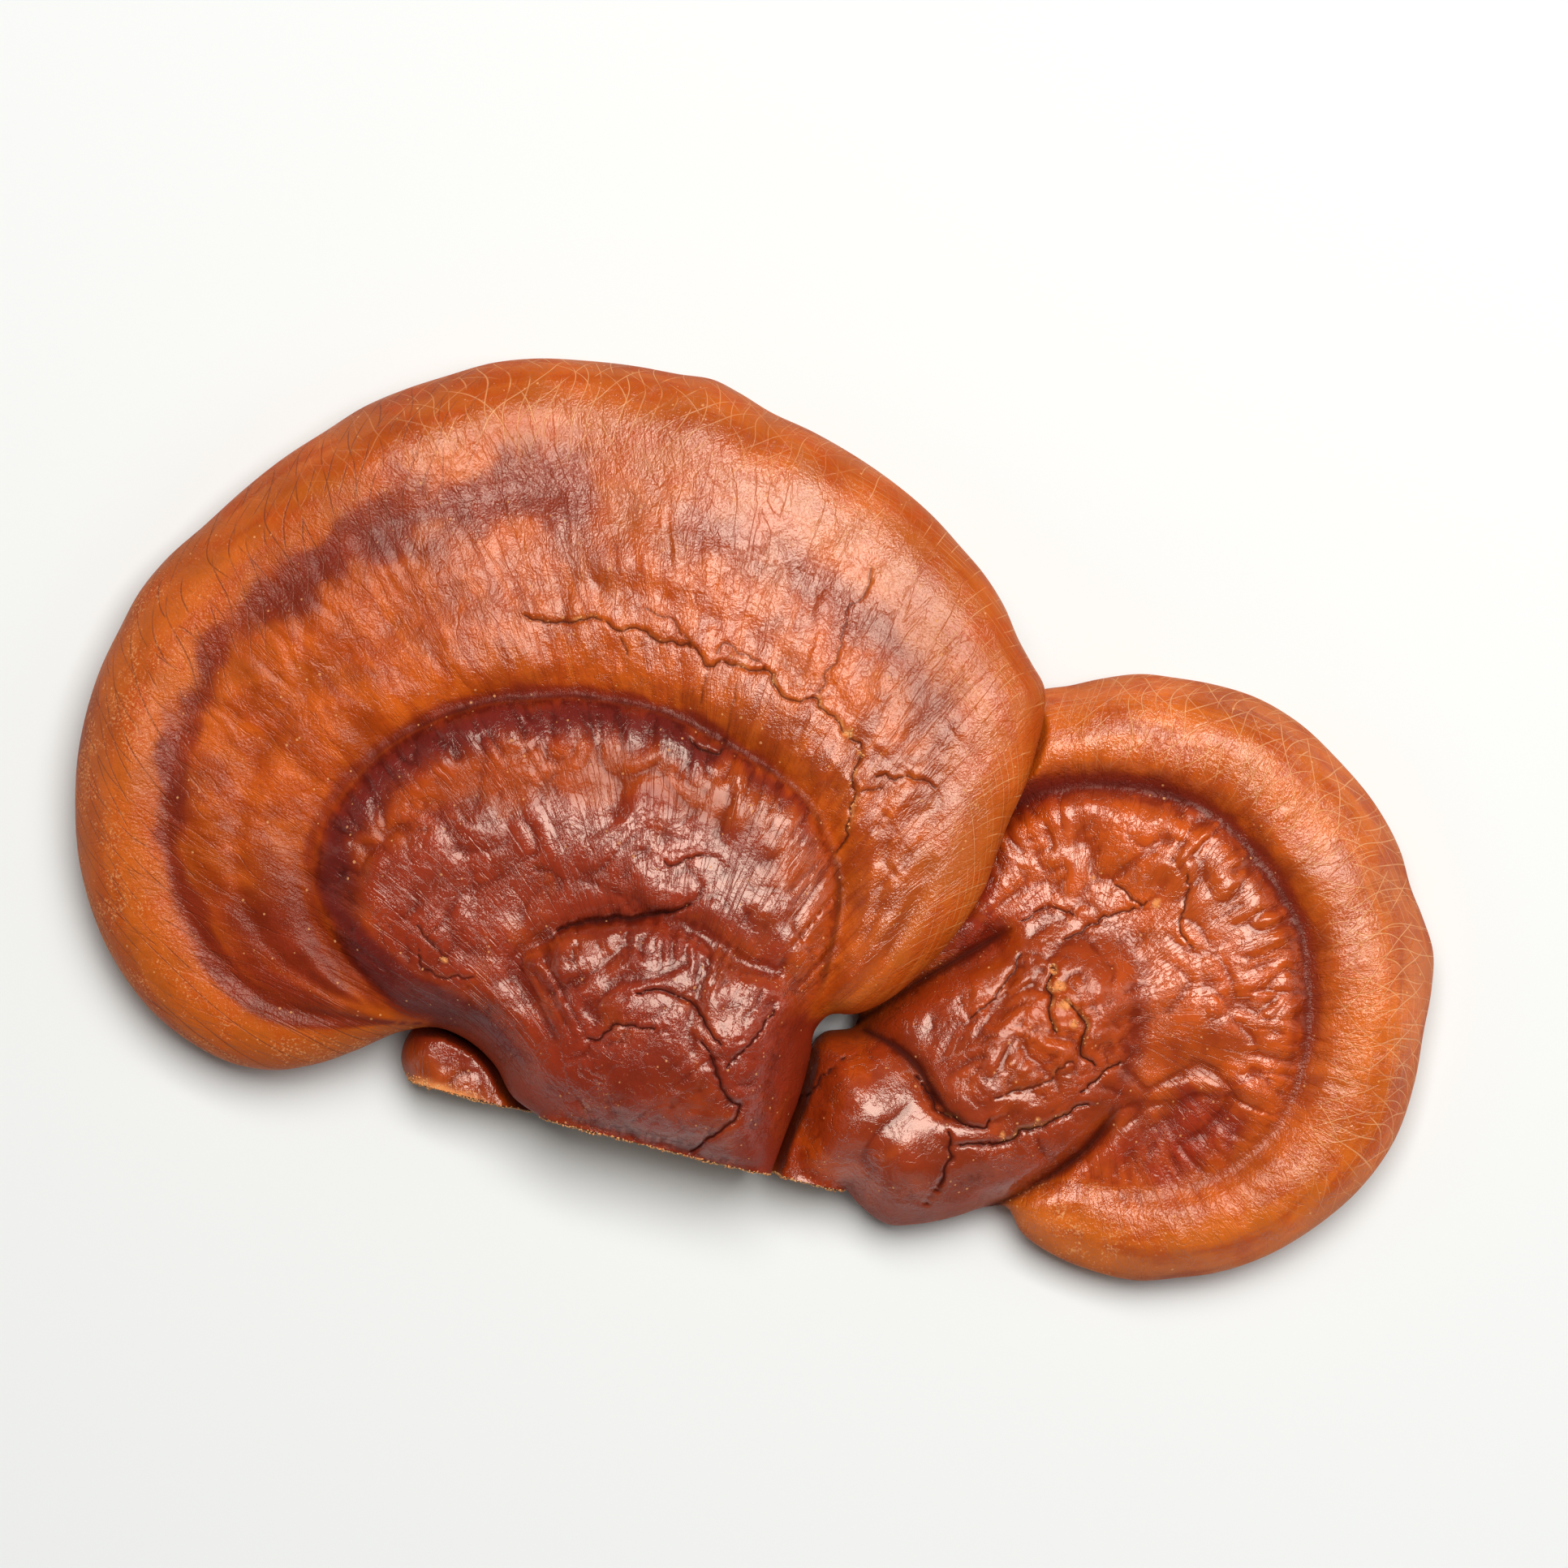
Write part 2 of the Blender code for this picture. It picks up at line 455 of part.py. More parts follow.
def build():
    for old in list(bpy.data.objects):
        bpy.data.objects.remove(old)
    outlines = [with_cut(margin) for margin in (LARGE_MARGIN, SMALL_MARGIN, LOBE_MARGIN)]
    large, small, lobe = outlines
    low, high = np.vstack(outlines).min(0), np.vstack(outlines).max(0)
    middle = (low + high) / 2

    lines = beside(curve_through(LARGE_DISC, step=TOP_FACET), (0, 3.4, -3.4), closed=True)
    lines += beside(curve_through(LARGE_BOSS, step=TOP_FACET), (-2.0, 3.0), closed=True)
    for _, crack in LARGE_CRACKS:
        lines += beside(curve_through(crack, closed=False, step=TOP_FACET), (0, CRACK_HALF, -CRACK_HALF))
    orange = skin("orange_lacquer", (0.50, 0.15, 0.03), 0.3)
    facet("large_cap", large, middle, large_top, large_under, lines, orange)

    lines = beside(curve_through(SMALL_DISC, step=TOP_FACET), (0, 3.4, -3.4), closed=True)
    for fold in (STEM_CREVICE, KNOB_FOLD, HEAD_FOLD, ARM_EDGE):
        lines += beside(curve_through(fold, closed=False, step=TOP_FACET), (0, 2.6, -2.6))
    for _, crack in SMALL_CRACKS:
        lines += beside(curve_through(crack, closed=False, step=TOP_FACET), (0, CRACK_HALF, -CRACK_HALF))
    red = skin("red_lacquer", (0.40, 0.09, 0.02), 0.28)
    facet("small_cap", small, middle, small_top, small_under, lines, red)

    facet("side_lobe", lobe, middle, lobe_top, lobe_under, [], skin("dark_lacquer", (0.20, 0.04, 0.02), 0.4))


build()
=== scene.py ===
"""Dried reishi mushroom: fused lacquered brackets lying on their pore side, seen from straight above."""

import bpy
import numpy as np
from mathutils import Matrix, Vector
from mathutils.geometry import delaunay_2d_cdt
from mathutils.kdtree import KDTree


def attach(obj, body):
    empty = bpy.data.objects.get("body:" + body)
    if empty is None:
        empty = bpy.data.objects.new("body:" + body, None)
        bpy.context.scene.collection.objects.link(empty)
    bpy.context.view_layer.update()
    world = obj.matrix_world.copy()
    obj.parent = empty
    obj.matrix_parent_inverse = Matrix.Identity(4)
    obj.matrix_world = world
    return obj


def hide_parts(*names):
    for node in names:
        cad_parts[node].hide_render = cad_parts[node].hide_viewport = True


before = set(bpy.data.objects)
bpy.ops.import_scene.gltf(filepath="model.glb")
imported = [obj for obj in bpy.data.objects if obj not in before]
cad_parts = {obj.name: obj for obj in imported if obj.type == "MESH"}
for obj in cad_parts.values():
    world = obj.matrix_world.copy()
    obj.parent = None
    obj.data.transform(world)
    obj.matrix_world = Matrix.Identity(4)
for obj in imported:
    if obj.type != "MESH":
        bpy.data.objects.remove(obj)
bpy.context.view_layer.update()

# Large cap, where it ends and how it grew. The big bracket is one fan of corky flesh under a thin
# lacquered skin. It grew outwards from the log in seasons: a pad where it left the bark, a disc, then
# the orange bands and the rolled rim. Sizes are in millimetres, as grown, and y rises up the picture.

CUT_LEFT = (-64.5, -48.2)
CUT_RIGHT = (3.0, -65.2)


def cut_line_y(x):
    """Where the straight cut that freed the cluster from its log runs, seen from above."""
    (ax, ay), (bx, by) = CUT_LEFT, CUT_RIGHT
    return ay + (x - ax) * (by - ay) / (bx - ax)


LARGE_MARGIN = [
    (-40.0, cut_line_y(-40.0)), (-44.5, -51.0), (-48.0, -45.0), (-53.0, -40.5), (-58.5, -38.3),
    (-65.0, -39.0), (-73.5, -42.5), (-80.5, -45.0), (-90.0, -46.3), (-97.5, -44.8), (-104.5, -41.2),
    (-110.5, -36.6), (-115.7, -30.6), (-120.3, -23.0), (-123.4, -15.0), (-125.4, -6.0), (-125.9, 3.0),
    (-125.4, 12.0), (-123.8, 20.0), (-121.2, 28.0), (-117.7, 35.3), (-113.8, 42.5), (-109.0, 48.3),
    (-102.0, 54.5), (-94.5, 61.3), (-87.0, 67.2), (-79.5, 72.0), (-72.5, 76.4), (-64.5, 79.8),
    (-57.0, 82.2), (-48.5, 84.6), (-40.5, 85.4), (-31.5, 85.0), (-22.5, 84.0), (-14.0, 82.4),
    (-7.5, 81.3), (-3.0, 79.0), (3.0, 75.3), (10.5, 71.8), (18.0, 67.5), (25.5, 62.3), (33.0, 55.8),
    (38.0, 50.2), (42.0, 45.5), (45.8, 39.5), (48.7, 32.8), (51.0, 28.6), (53.2, 24.5), (53.2, 19.5),
    (51.8, 13.2), (49.6, 6.0), (46.6, -0.6), (44.2, -7.0), (42.4, -12.2), (39.2, -17.8), (35.2, -23.2),
    (30.2, -28.4), (24.6, -33.0), (18.5, -35.7), (13.5, -36.0), (11.2, -38.5), (10.2, -43.5),
    (8.4, -50.5), (5.6, -58.0), (3.0, cut_line_y(3.0)),
]
LARGE_DISC = [
    (-64.5, -35.7), (-70.5, -30.7), (-75.0, -25.5), (-78.8, -18.0), (-80.6, -10.5), (-80.0, -4.0),
    (-77.2, 2.0), (-72.7, 8.0), (-67.5, 12.8), (-61.5, 16.5), (-55.0, 19.3), (-48.0, 21.2),
    (-40.5, 22.0), (-33.0, 22.2), (-25.5, 21.3), (-18.0, 19.6), (-12.0, 17.2), (-6.0, 14.0),
    (-1.0, 11.0), (4.5, 7.5), (9.0, 3.7), (12.2, -1.5), (14.4, -7.0), (15.2, -12.0), (14.8, -18.0),
    (13.2, -25.5), (11.8, -31.5), (9.8, -37.0), (8.8, -43.5), (7.0, -50.5), (3.0, -62.0),
    (-20.0, -58.0), (-38.0, -53.0), (-46.5, -44.5), (-52.5, -39.0), (-58.5, -37.2),
]
LARGE_BOSS = [
    (-42.0, -25.8), (-37.0, -22.3), (-33.5, -19.6), (-28.0, -18.9), (-21.5, -18.6), (-16.0, -19.6),
    (-10.5, -21.6), (-5.5, -25.0), (-0.5, -27.8), (4.5, -29.6), (7.6, -33.0), (7.6, -39.0),
    (5.8, -46.0), (2.0, -53.5), (-3.5, -58.5), (-12.0, -60.5), (-22.0, -58.5), (-29.5, -53.5),
    (-34.5, -46.0), (-37.0, -38.0), (-39.5, -31.5),
]
INNER_LIP = [
    (-73.0, -19.0), (-69.0, -9.0), (-61.0, -1.5), (-49.0, 2.2), (-34.0, 3.2), (-19.0, 2.2),
    (-7.0, -2.2), (2.0, -9.0), (6.5, -18.0),
]
LARGE_TOP = [
    (-112, 0, 19.0), (-98, 48, 19.0), (-45, 72, 20.5), (15, 55, 25.5), (42, 18, 29.5), (28, -22, 29.5),
    (-92, -33, 18.5), (-92, 8, 22.5), (-72, 38, 24.5), (-38, 40, 26.5), (0, 36, 28.5), (24, 12, 30.5),
    (-66, -8, 25.8), (-38, 10, 27.6), (2, -6, 29.5), (-30, -8, 28.0), (-16, -36, 31.8),
    (-52, -32, 25.0), (-40, -48, 23.5), (-20, -60, 25.0), (-2, -62, 24.5), (6, -46, 27.5),
]
LARGE_EDGE = [
    (-125, 0, 9.0), (-102, 54, 9.0), (-45, 85, 9.5), (5, 74, 12.0), (38, 50, 17.0), (53, 22, 20.5),
    (43, -10, 21.5), (20, -36, 20.5), (-90, -46, 9.0), (-118, -28, 9.0), (-70, -40, 14.0),
    (-50, -42, 18.5), (-40, -54, 17.0), (10, -46, 17.0), (3, -64, 15.0),
]
LARGE_FLOOR = [
    (-112, 0, -2.0), (-94, 46, -2.0), (-45, 74, -2.0), (0, 62, 2.5), (35, 38, 9.0), (42, 8, 13.5),
    (24, -24, 13.5), (-86, -36, -1.5), (-70, 5, 5.5), (-40, 30, 6.0), (0, 15, 7.5), (-60, -25, 5.5),
    (-48, -42, 8.0), (-30, -34, 1.0), (-14, -48, -2.5), (-4, -60, -2.0), (-28, -56, -2.0),
]
RIM_ROLL = 12.0
UNDER_ROLL = 9.0
CRACK_LINE = 0.33
HIGHEST = 36.3


def curve_through(points, closed=True, step=0.6):
    """Even points along a smooth curve through the chosen points."""
    p = np.array(points, float)
    if closed:
        p = np.vstack([p[-1:], p, p[:2]])
    else:
        p = np.vstack([2 * p[:1] - p[1:2], p, 2 * p[-1:] - p[-2:-1]])
    fine = []
    for a, b, c, d in zip(p, p[1:], p[2:], p[3:]):
        ab, bc, cd = (np.linalg.norm(v) for v in (b - a, c - b, d - c))
        leave = ((c - b) * ab / bc + (b - a) * bc / ab) / (ab + bc) * bc
        arrive = ((d - c) * bc / cd + (c - b) * cd / bc) / (bc + cd) * bc
        t = np.linspace(0, 1, 17)[:-1, None]
        ease_in = t * t * (3 - 2 * t)
        fine.append(b * (1 - ease_in) + c * ease_in + leave * t * (1 - t) ** 2 - arrive * t * t * (1 - t))
    line = np.vstack(fine + [p[1:2] if closed else p[-2:-1]])
    along = np.concatenate([[0], np.cumsum(np.linalg.norm(np.diff(line, axis=0), axis=1))])
    places = np.linspace(0, along[-1], max(2, round(along[-1] / step)) + 1)
    if closed:
        places = places[:-1]
    return np.stack([np.interp(places, along, line[:, k]) for k in (0, 1)], axis=1)


def from_line(xy, line, closed=False):
    """How far each point lies from a line of short straight runs, above zero on its left side."""
    tree = KDTree(len(line))
    for k, (x, y) in enumerate(line):
        tree.insert((x, y, 0), k)
    tree.balance()
    nearest = np.array([tree.find((x, y, 0))[1] for x, y in xy])
    distance = np.full(len(xy), np.inf)
    side = np.ones(len(xy))
    for start in (nearest - 1, nearest):
        start = start % len(line) if closed else np.clip(start, 0, len(line) - 2)
        run = line[(start + 1) % len(line)] - line[start]
        share = np.clip(((xy - line[start]) * run).sum(1) / (run * run).sum(1), 0, 1)
        gap = xy - line[start] - share[:, None] * run
        far = np.hypot(*gap.T)
        turn = run[:, 0] * gap[:, 1] - run[:, 1] * gap[:, 0]
        side = np.where(far < distance, np.where(turn < 0, -1, 1), side)
        distance = np.minimum(distance, far)
    return distance * side


def inside(xy, loop):
    """True for each point that a closed loop goes round."""
    crossings = np.zeros(len(xy), int)
    for (ax, ay), (bx, by) in zip(loop, np.roll(loop, -1, axis=0)):
        if ay == by:
            continue
        spans = (ay > xy[:, 1]) != (by > xy[:, 1])
        crossings += spans & (xy[:, 0] < (bx - ax) * (xy[:, 1] - ay) / (by - ay) + ax)
    return crossings % 2 == 1


def spots(xy, places, reach=26.0):
    """A smooth level that passes near the chosen (x, y, level) spots."""
    weights = [np.exp(-((xy - place) ** 2).sum(1) / reach**2) + 1e-9 for *place, _ in places]
    return sum(weight * level for weight, (_, _, level) in zip(weights, places)) / sum(weights)


def ease(value, start, end):
    """0 before start, 1 after end, and smooth between."""
    t = np.clip((value - start) / (end - start), 0, 1)
    return t * t * (3 - 2 * t)


def hump(value, width):
    """1 where the value is 0, and less and less on both sides."""
    return np.exp(-((value / width) ** 2))


def near(xy, place, reach):
    """1 at a place, and less and less away from it."""
    return hump(np.hypot(*(xy - place).T), reach)


def roll(depth, radius):
    """The rise of a rounded margin: 0 at its edge, 1 once a radius in."""
    return np.sqrt(1 - (1 - np.clip(depth / radius, 0, 1)) ** 2)


def swells(xy, size):
    """Slow swells of the skin, between about -1 and 1."""
    x, y = xy.T / size
    return np.sin(1.9 * x + 1.3 * np.sin(1.1 * y + 0.4)) * np.sin(1.7 * y + 1.1 * np.sin(1.3 * x + 2.0))


def grain(u, v, seed):
    """Smooth random waves about one unit long, between -1 and 1."""
    table = np.random.default_rng(seed).uniform(-1, 1, (256, 256))
    column, row = np.floor(u).astype(int), np.floor(v).astype(int)
    across, up = u - column, v - row
    across, up = across * across * (3 - 2 * across), up * up * (3 - 2 * up)
    a, b = table[column % 256, row % 256], table[(column + 1) % 256, row % 256]
    c, d = table[column % 256, (row + 1) % 256], table[(column + 1) % 256, (row + 1) % 256]
    return (a * (1 - across) + b * across) * (1 - up) + (c * (1 - across) + d * across) * up


def rough(u, v, seed, layers=3):
    """Random waves with finer ones laid over them."""
    return sum(grain(u * 2**k + 7 * k, v * 2**k, seed + k) * 0.5**k for k in range(layers))


def folds(u, v, seed, layers=2, middle=0.5):
    """Puckered leather: rounded swellings between sharp creases, up and down about a middle."""
    u, v = u + 0.5 * grain(u, v, seed + 50), v + 0.5 * grain(u + 9, v + 4, seed + 51)
    return sum(abs(grain(u * 1.9**k, v * 1.9**k + 5 * k, seed + k)) * 0.5**k for k in range(layers)) - middle


def puckers(xy, wide, high, seed, layers=2, middle=0.5):
    """Folds of about this size, turned off the picture's own directions."""
    x, y = xy.T
    return folds((0.8 * x + 0.6 * y) / wide, (0.8 * y - 0.6 * x) / high, seed, layers, middle)


# Large cap, its lacquered upper skin: the levels and growth lines of the solid, with the ribs of the
# disc's lip, the radial wrinkles of the rings, the puckered pad and the split band, as it dried.

LARGE_CENTRE = (-18.0, -34.0)
PLUM_RING = [
    (-22, 62, 0.57), (-60, 52, 0.62), (-78, 40, 0.65), (-100, -5, 0.62), (-88, -32, 0.54), (33, 20, 0.60),
    (10, 42, 0.58),
]
PLUM_DEPTH = [
    (-75, 45, 1.0), (-95, 30, 0.65), (-107, -8, 0.95), (-92, -28, 0.75), (-45, 57, 0.7), (-15, 56, 0.5),
    (12, 42, 0.5), (28, 28, 0.55), (35, 8, 0.4), (35, -10, 0.0), (22, -25, 0.0),
]
MAIN_CRACK = [
    (-42, 37.5), (-38.2, 36.5), (-33.9, 36), (-28.5, 36.8), (-26.5, 36), (-25.2, 35), (-23, 35.3),
    (-20.5, 34.8), (-19, 33.5), (-15, 32.2), (-12.5, 31.8), (-10, 31), (-8.5, 28), (-6.5, 28.7),
    (-4, 28.4), (-2, 27.7), (0, 27.2), (2, 26.7), (3.3, 26), (3.7, 25), (4, 23.8), (5.5, 22.6),
    (7, 21.9), (8.5, 21.9), (10.5, 22.2), (11.5, 21.7), (12, 20.3), (13.5, 19.2), (15, 18.7),
    (15.8, 17.2), (16.3, 16), (18, 15), (19.3, 13.5), (19, 11), (18, 9), (18, 6.5), (18.7, 4.8),
    (17.8, 2.5), (17.2, 0), (16.8, -2.5), (16, -4.5), (15.2, -6),
]
# Each crack: how deep it is, how wide its lips are, how far it bares the pale flesh, and its line
LARGE_CRACKS = [
    (0.6, 0.28, 1.0, MAIN_CRACK),
    (0.3, 0.2, 0.6, [(-19.5, 38.8), (-17, 37.2), (-15, 36.2), (-13.5, 34), (-12, 32.2), (-10.5, 31.2)]),
    (0.3, 0.2, 0.5, [(-6.5, 30), (-6.5, 31.5), (-4.5, 32), (-3, 31), (-1.5, 30), (0.5, 29.2), (3.5, 26.5)]),
    (0.3, 0.2, 0.3, [(21.5, 46), (21.3, 44), (20.5, 42), (18.5, 40), (17, 38), (16.8, 36), (16, 34),
                     (15.8, 32), (15.5, 30), (14.5, 28), (13, 26.8), (12.5, 25), (11.8, 23.5), (11.7, 22)]),
    (0.5, 0.25, 0.3, [(22.5, 8.5), (24, 8), (25.5, 7), (27.5, 8), (29.5, 7.5), (31, 7.5), (33, 5.5)]),
    (0.4, 0.25, 0.2, [(18.5, 6), (20.5, 5.4), (23, 5.8)]),
    (0.4, 0.25, 0.2, [(-24.5, 34.5), (-24, 32.5), (-23.2, 30.5)]),
    (0.15, 0.2, 0.0, [(-8.5, 28), (-9.3, 25), (-9.8, 22)]),
    (0.1, 0.2, 0.0, [(-3.5, 24.5), (-4.2, 21), (-4.8, 17.5), (-5.3, 13)]),
    (0.5, 0.25, 0.2, [(-16.5, -7.8), (-14.5, -8.2), (-12, -7), (-10.5, -6.2), (-9, -6.2)]),
    (0.4, 0.3, 0.2, [(-61.5, -19), (-60, -21.5), (-58, -23.5), (-56.5, -25)]),
    (0.4, 0.28, 0.2, [(-61, -24), (-61, -26), (-59, -28), (-57, -29), (-54, -28.5), (-51.5, -29)]),
    (1.6, 0.9, 0.0, [(-36, -20.5), (-30, -18.4), (-22, -17.8), (-18, -17.2), (-14, -16.2), (-11.5, -15.5)]),
    (1.0, 0.36, 0.0, [(-21, -31), (-18, -30.7), (-15, -31.5), (-12, -33), (-10, -35), (-8.5, -37.5),
                     (-7, -39.5), (-6, -40.5)]),
    (0.7, 0.32, 0.0, [(-30, -40), (-28, -39.8), (-27, -38), (-25, -37.2), (-22, -37.2), (-18, -37.7)]),
    (1.0, 0.4, 0.0, [(-9.5, -40), (-8, -43), (-7, -46), (-6, -49), (-4.5, -50.5), (-3, -52), (-3, -54),
                     (-5, -56), (-8, -58), (-10.5, -60), (-12.5, -61.5)]),
    (0.7, 0.32, 0.0, [(-5, -44.5), (-3, -43), (-1, -41), (0.5, -39), (2, -36.5), (4, -35)]),
    (0.9, 0.35, 0.4, [(-11.5, 14.5), (-9, 12.6), (-7.2, 12.0), (-5.6, 12.8), (-5.4, 14.6)]),
]
CRACK_REACH = 8.0


def torn_line(points):
    """A crack's line with the small zigzags of torn skin."""
    line = curve_through(points, closed=False, step=0.3)
    u, v = line.T / 1.4
    return line + 0.45 * np.column_stack([rough(u, v, 301, layers=2), rough(u, v, 305, layers=2)])


def split(xy, cracks):
    """What cracks do to a skin: the drop of its level, the painted shade down its line, and how bare of
    lacquer it is.
    """
    drop, dark, bare = (np.zeros(len(xy)) for _ in range(3))
    for deep, lips, pale, points in cracks:
        line = torn_line(points)
        low, high = line.min(0) - CRACK_REACH, line.max(0) + CRACK_REACH
        here = ((xy > low) & (xy < high)).all(1)
        if not here.any():
            continue
        gap = from_line(xy[here], line)
        wide = lips * (0.75 + 0.9 * abs(grain(*(xy[here].T / 2.3), 5)))
        ends = np.minimum(*(np.hypot(*(xy[here] - line[end]).T) for end in (0, -1)))
        wide *= 0.45 + 0.55 * ease(ends, 0, 7)
        drop[here] += deep * np.exp(-abs(gap) / wide) - 0.2 * deep * np.tanh(gap / 0.5) * hump(gap, 3.0)
        # The dark down each crack is painted shade.
        dark[here] = np.maximum(dark[here], np.clip(0.3 + 0.9 * deep, 0, 1) * hump(gap, 0.7 * wide))
        lip = hump(gap - 0.9 * wide, 0.5 * wide) * ease(grain(*(xy[here].T / 1.7), 6), -0.4, 0.5)
        bare[here] = np.maximum(bare[here], 0.8 * pale * lip)
    return drop, dark, bare


LARGE_CHIPS = [(17.0, 15.7, 0.9), (-56.5, -25.5, 0.6), (19.2, 12.2, 0.5)]


def chips(xy, places):
    """Small ragged spots where the lacquer has flaked off."""
    ragged = 0.35 * rough(*(xy.T / 1.2), 8)
    far = [(np.hypot(*(xy - place).T), size) for *place, size in places]
    return sum(ease(1 - gap / size + ragged, -0.1, 0.3) for gap, size in far)


# Flats of dried skin that lean towards the upper right: x, y, how far each reaches and how much it leans
LARGE_FLATS = [
    (-15.5, 3.0, 6.0, 0.12), (-50.0, 2.0, 6.0, 0.08), (-37.0, 0.0, 5.0, 0.08), (-32.0, -26.0, 4.0, 0.06),
    (2.0, -38.0, 4.0, 0.1), (-4.0, -12.5, 5.0, 0.12), (-73.0, 13.5, 4.0, 0.15), (-33.0, 62.0, 8.0, 0.06),
]
TOWARDS_LIGHT = (0.59, 0.81)


def leaning(xy, flats):
    """The rise and fall of flats that lean towards the light."""
    rise = np.zeros(len(xy))
    for *place, reach, lean in flats:
        rise -= lean * ((xy - place) @ TOWARDS_LIGHT) * near(xy, place, reach)
    return rise


LOWER_LEFT_RUST = (-84.0, -26.0)
CRUMPLED_SKIN = (24.0, 12.0)
DUSTY_PAD = (-27.0, -53.0)
DULL_SPOTS = [(32.0, 28.0, 16.0), (-44.0, 72.0, 12.0), (-76.0, 50.0, 13.0)]


def large_top(xy):
    """The level of the upper skin, and what its colour and finish follow."""
    margin = curve_through(LARGE_MARGIN, closed=False)
    depth = abs(from_line(xy, margin))
    out_of_disc = from_line(xy, curve_through(LARGE_DISC), closed=True)
    out_of_boss = from_line(xy, curve_through(LARGE_BOSS), closed=True)
    past_lip = from_line(xy, curve_through(INNER_LIP, closed=False))
    sideways, up = (xy - LARGE_CENTRE).T
    around = 80.0 * np.arctan2(sideways, 0.5 * (up + np.hypot(up, 30.0)))
    beyond = np.clip(out_of_disc, 0, None)
    grown = beyond / (beyond + depth + 1e-6)
    ring = spots(xy, PLUM_RING)
    wander = rough(around / 5.0, grown * 5, 3, layers=4)
    blotch = rough(around / 7.0, grown * 7, 5, layers=3)
    x, y = xy.T
    ring_width = 0.13 - 0.045 * ease(-x, 75, 100) - 0.03 * ease(x, 0, 20)
    near_ring = hump(grown - ring + 0.026 * wander, ring_width)
    ragged = 0.4 - 0.28 * ease(x, -5, 20)
    plum = np.clip(spots(xy, PLUM_DEPTH, reach=16.0) * ease(near_ring + ragged * blotch, 0.0, 1.2), 0, 1)
    rusty = near(xy, LOWER_LEFT_RUST, 19.0) * ease(out_of_disc, 0, 4) * ease(ring - grown, -0.05, 0.1)
    plum = np.maximum(plum, (0.8 + 0.2 * wander + 0.2 * blotch) * rusty)
    base = ease(-y, 34.5, 37.5) * ease(x, -62, -58)
    crisp = ease(x + 0.5 * y, -85, -50)
    outside = ease(out_of_disc, -1, 5) * (1 - base)
    disc = np.maximum(ease(-out_of_disc, -0.6 - 2 * (1 - crisp), 0.6 + 2 * (1 - crisp)), base)
    upper = ease(y, -44, -26)
    boss = np.maximum(ease(-out_of_boss, 5 * upper - 6, 7.5 - 6 * upper), base * ease(x, -46, -26))
    bands = ease(out_of_disc, 0, 6) * ease(depth, 0, 8) * (1 - base)
    season = np.clip(grown / ring, 0, 1)
    rim = np.clip((grown - ring) / (1 - ring), 0, 1)

    relief = 1.4 * ease(-out_of_disc, -1.5 - 2 * (1 - crisp), 2.0 + 5 * (1 - crisp))
    relief += 1.7 * (1 - np.exp(np.clip(out_of_disc, None, 0) / 7.0))
    relief -= (0.6 + 1.3 * crisp) * hump(out_of_disc, 4.2) * ease(depth, 1, 9)
    relief += bands * 1.0 * np.sin(np.pi * season)
    relief -= bands * 0.6 * hump(grown - CRACK_LINE, 0.05)
    facing = ease(x + y, 5, 45)
    relief -= bands * 0.5 * (1 - 0.9 * facing) * hump(grown - ring, 0.07)
    relief += bands * 0.5 * (1 - facing) * np.sin(np.pi * rim)
    relief += facing * outside * ease(depth, 0, 6) * 3.0 * (0.45 - np.clip(grown, 0.08, 0.9))
    relief += 2.4 * (1 - upper) * ease(-out_of_boss, -10, 11) + 1.4 * upper * ease(-out_of_boss, -1.2, 2.2)
    relief += 1.3 * (1 - np.exp(np.clip(out_of_boss, None, 0) / 8.0)) + 1.2 * ease(-out_of_boss, 0, 15)
    relief -= 1.3 * upper * hump(out_of_boss - 1.5, 2.4)
    relief += 0.9 * ease(-past_lip, -3.0, 3.5) * ease(-out_of_disc, 0, 8)
    relief += 0.5 * swells(xy, 19.0) + leaning(xy, LARGE_FLATS)

    lip_ribs = hump(out_of_disc + 3.5, 5.0) * (1 - boss) * (1 - base)
    relief += 1.4 * lip_ribs * folds(around / 4.5 + 0.3 * wander, out_of_disc / 13, 11)
    pad_ribs = hump(out_of_boss + 3.0, 3.5) * upper
    relief += 2.3 * pad_ribs * folds(around / 12 + 0.4 * wander, out_of_boss / 9, 12)
    ring_ribs = hump(grown - 0.5, 0.14) * outside
    relief += 0.5 * ring_ribs * folds(around / 4.0 + 0.3 * wander, out_of_disc / 16, 13)
    band_ribs = hump(grown - 0.2, 0.2) * outside
    relief += 0.45 * band_ribs * folds(around / 6.5, out_of_disc / 11, 17)
    pulled = ease(depth, 2, 12) * outside
    relief += 0.35 * pulled * grain(around / 11, depth / 30, 19)
    pulled *= 0.4 + 0.6 * ease(x, -60, 0)
    relief += 0.3 * pulled * puckers(xy, 6.0, 6.0, 21, layers=3) * hump(grown - 0.3, 0.4)
    crumpled = near(xy, CRUMPLED_SKIN, 17.0) * outside * ease(depth, 6, 16)
    relief += 0.7 * crumpled * puckers(xy, 7.0, 7.0, 23, layers=3, middle=0.4)
    inner = disc * (1 - boss) * ease(-out_of_disc, 3, 10)
    relief += 0.7 * inner * puckers(xy, 10.0, 8.0, 29)
    relief += 0.8 * inner * puckers(xy, 18.0, 14.0, 28, layers=1, middle=0.3)
    relief += 0.3 * inner * puckers(xy, 4.0, 4.0, 30) * ease(swells(xy + 20, 16.0), -0.3, 0.6)
    relief += 1.3 * boss * puckers(xy, 13.0, 9.0, 31) * (1 - 0.5 * base)
    relief += 0.5 * boss * puckers(xy, 4.2, 3.2, 33) * ease(swells(xy + 9, 11.0), -0.8, 0.3)
    relief += 0.12 * outside * rough(around / 5, depth / 9, 37) * ease(depth, 0, 4)
    drop, dark, bare = split(xy, LARGE_CRACKS)
    relief -= drop

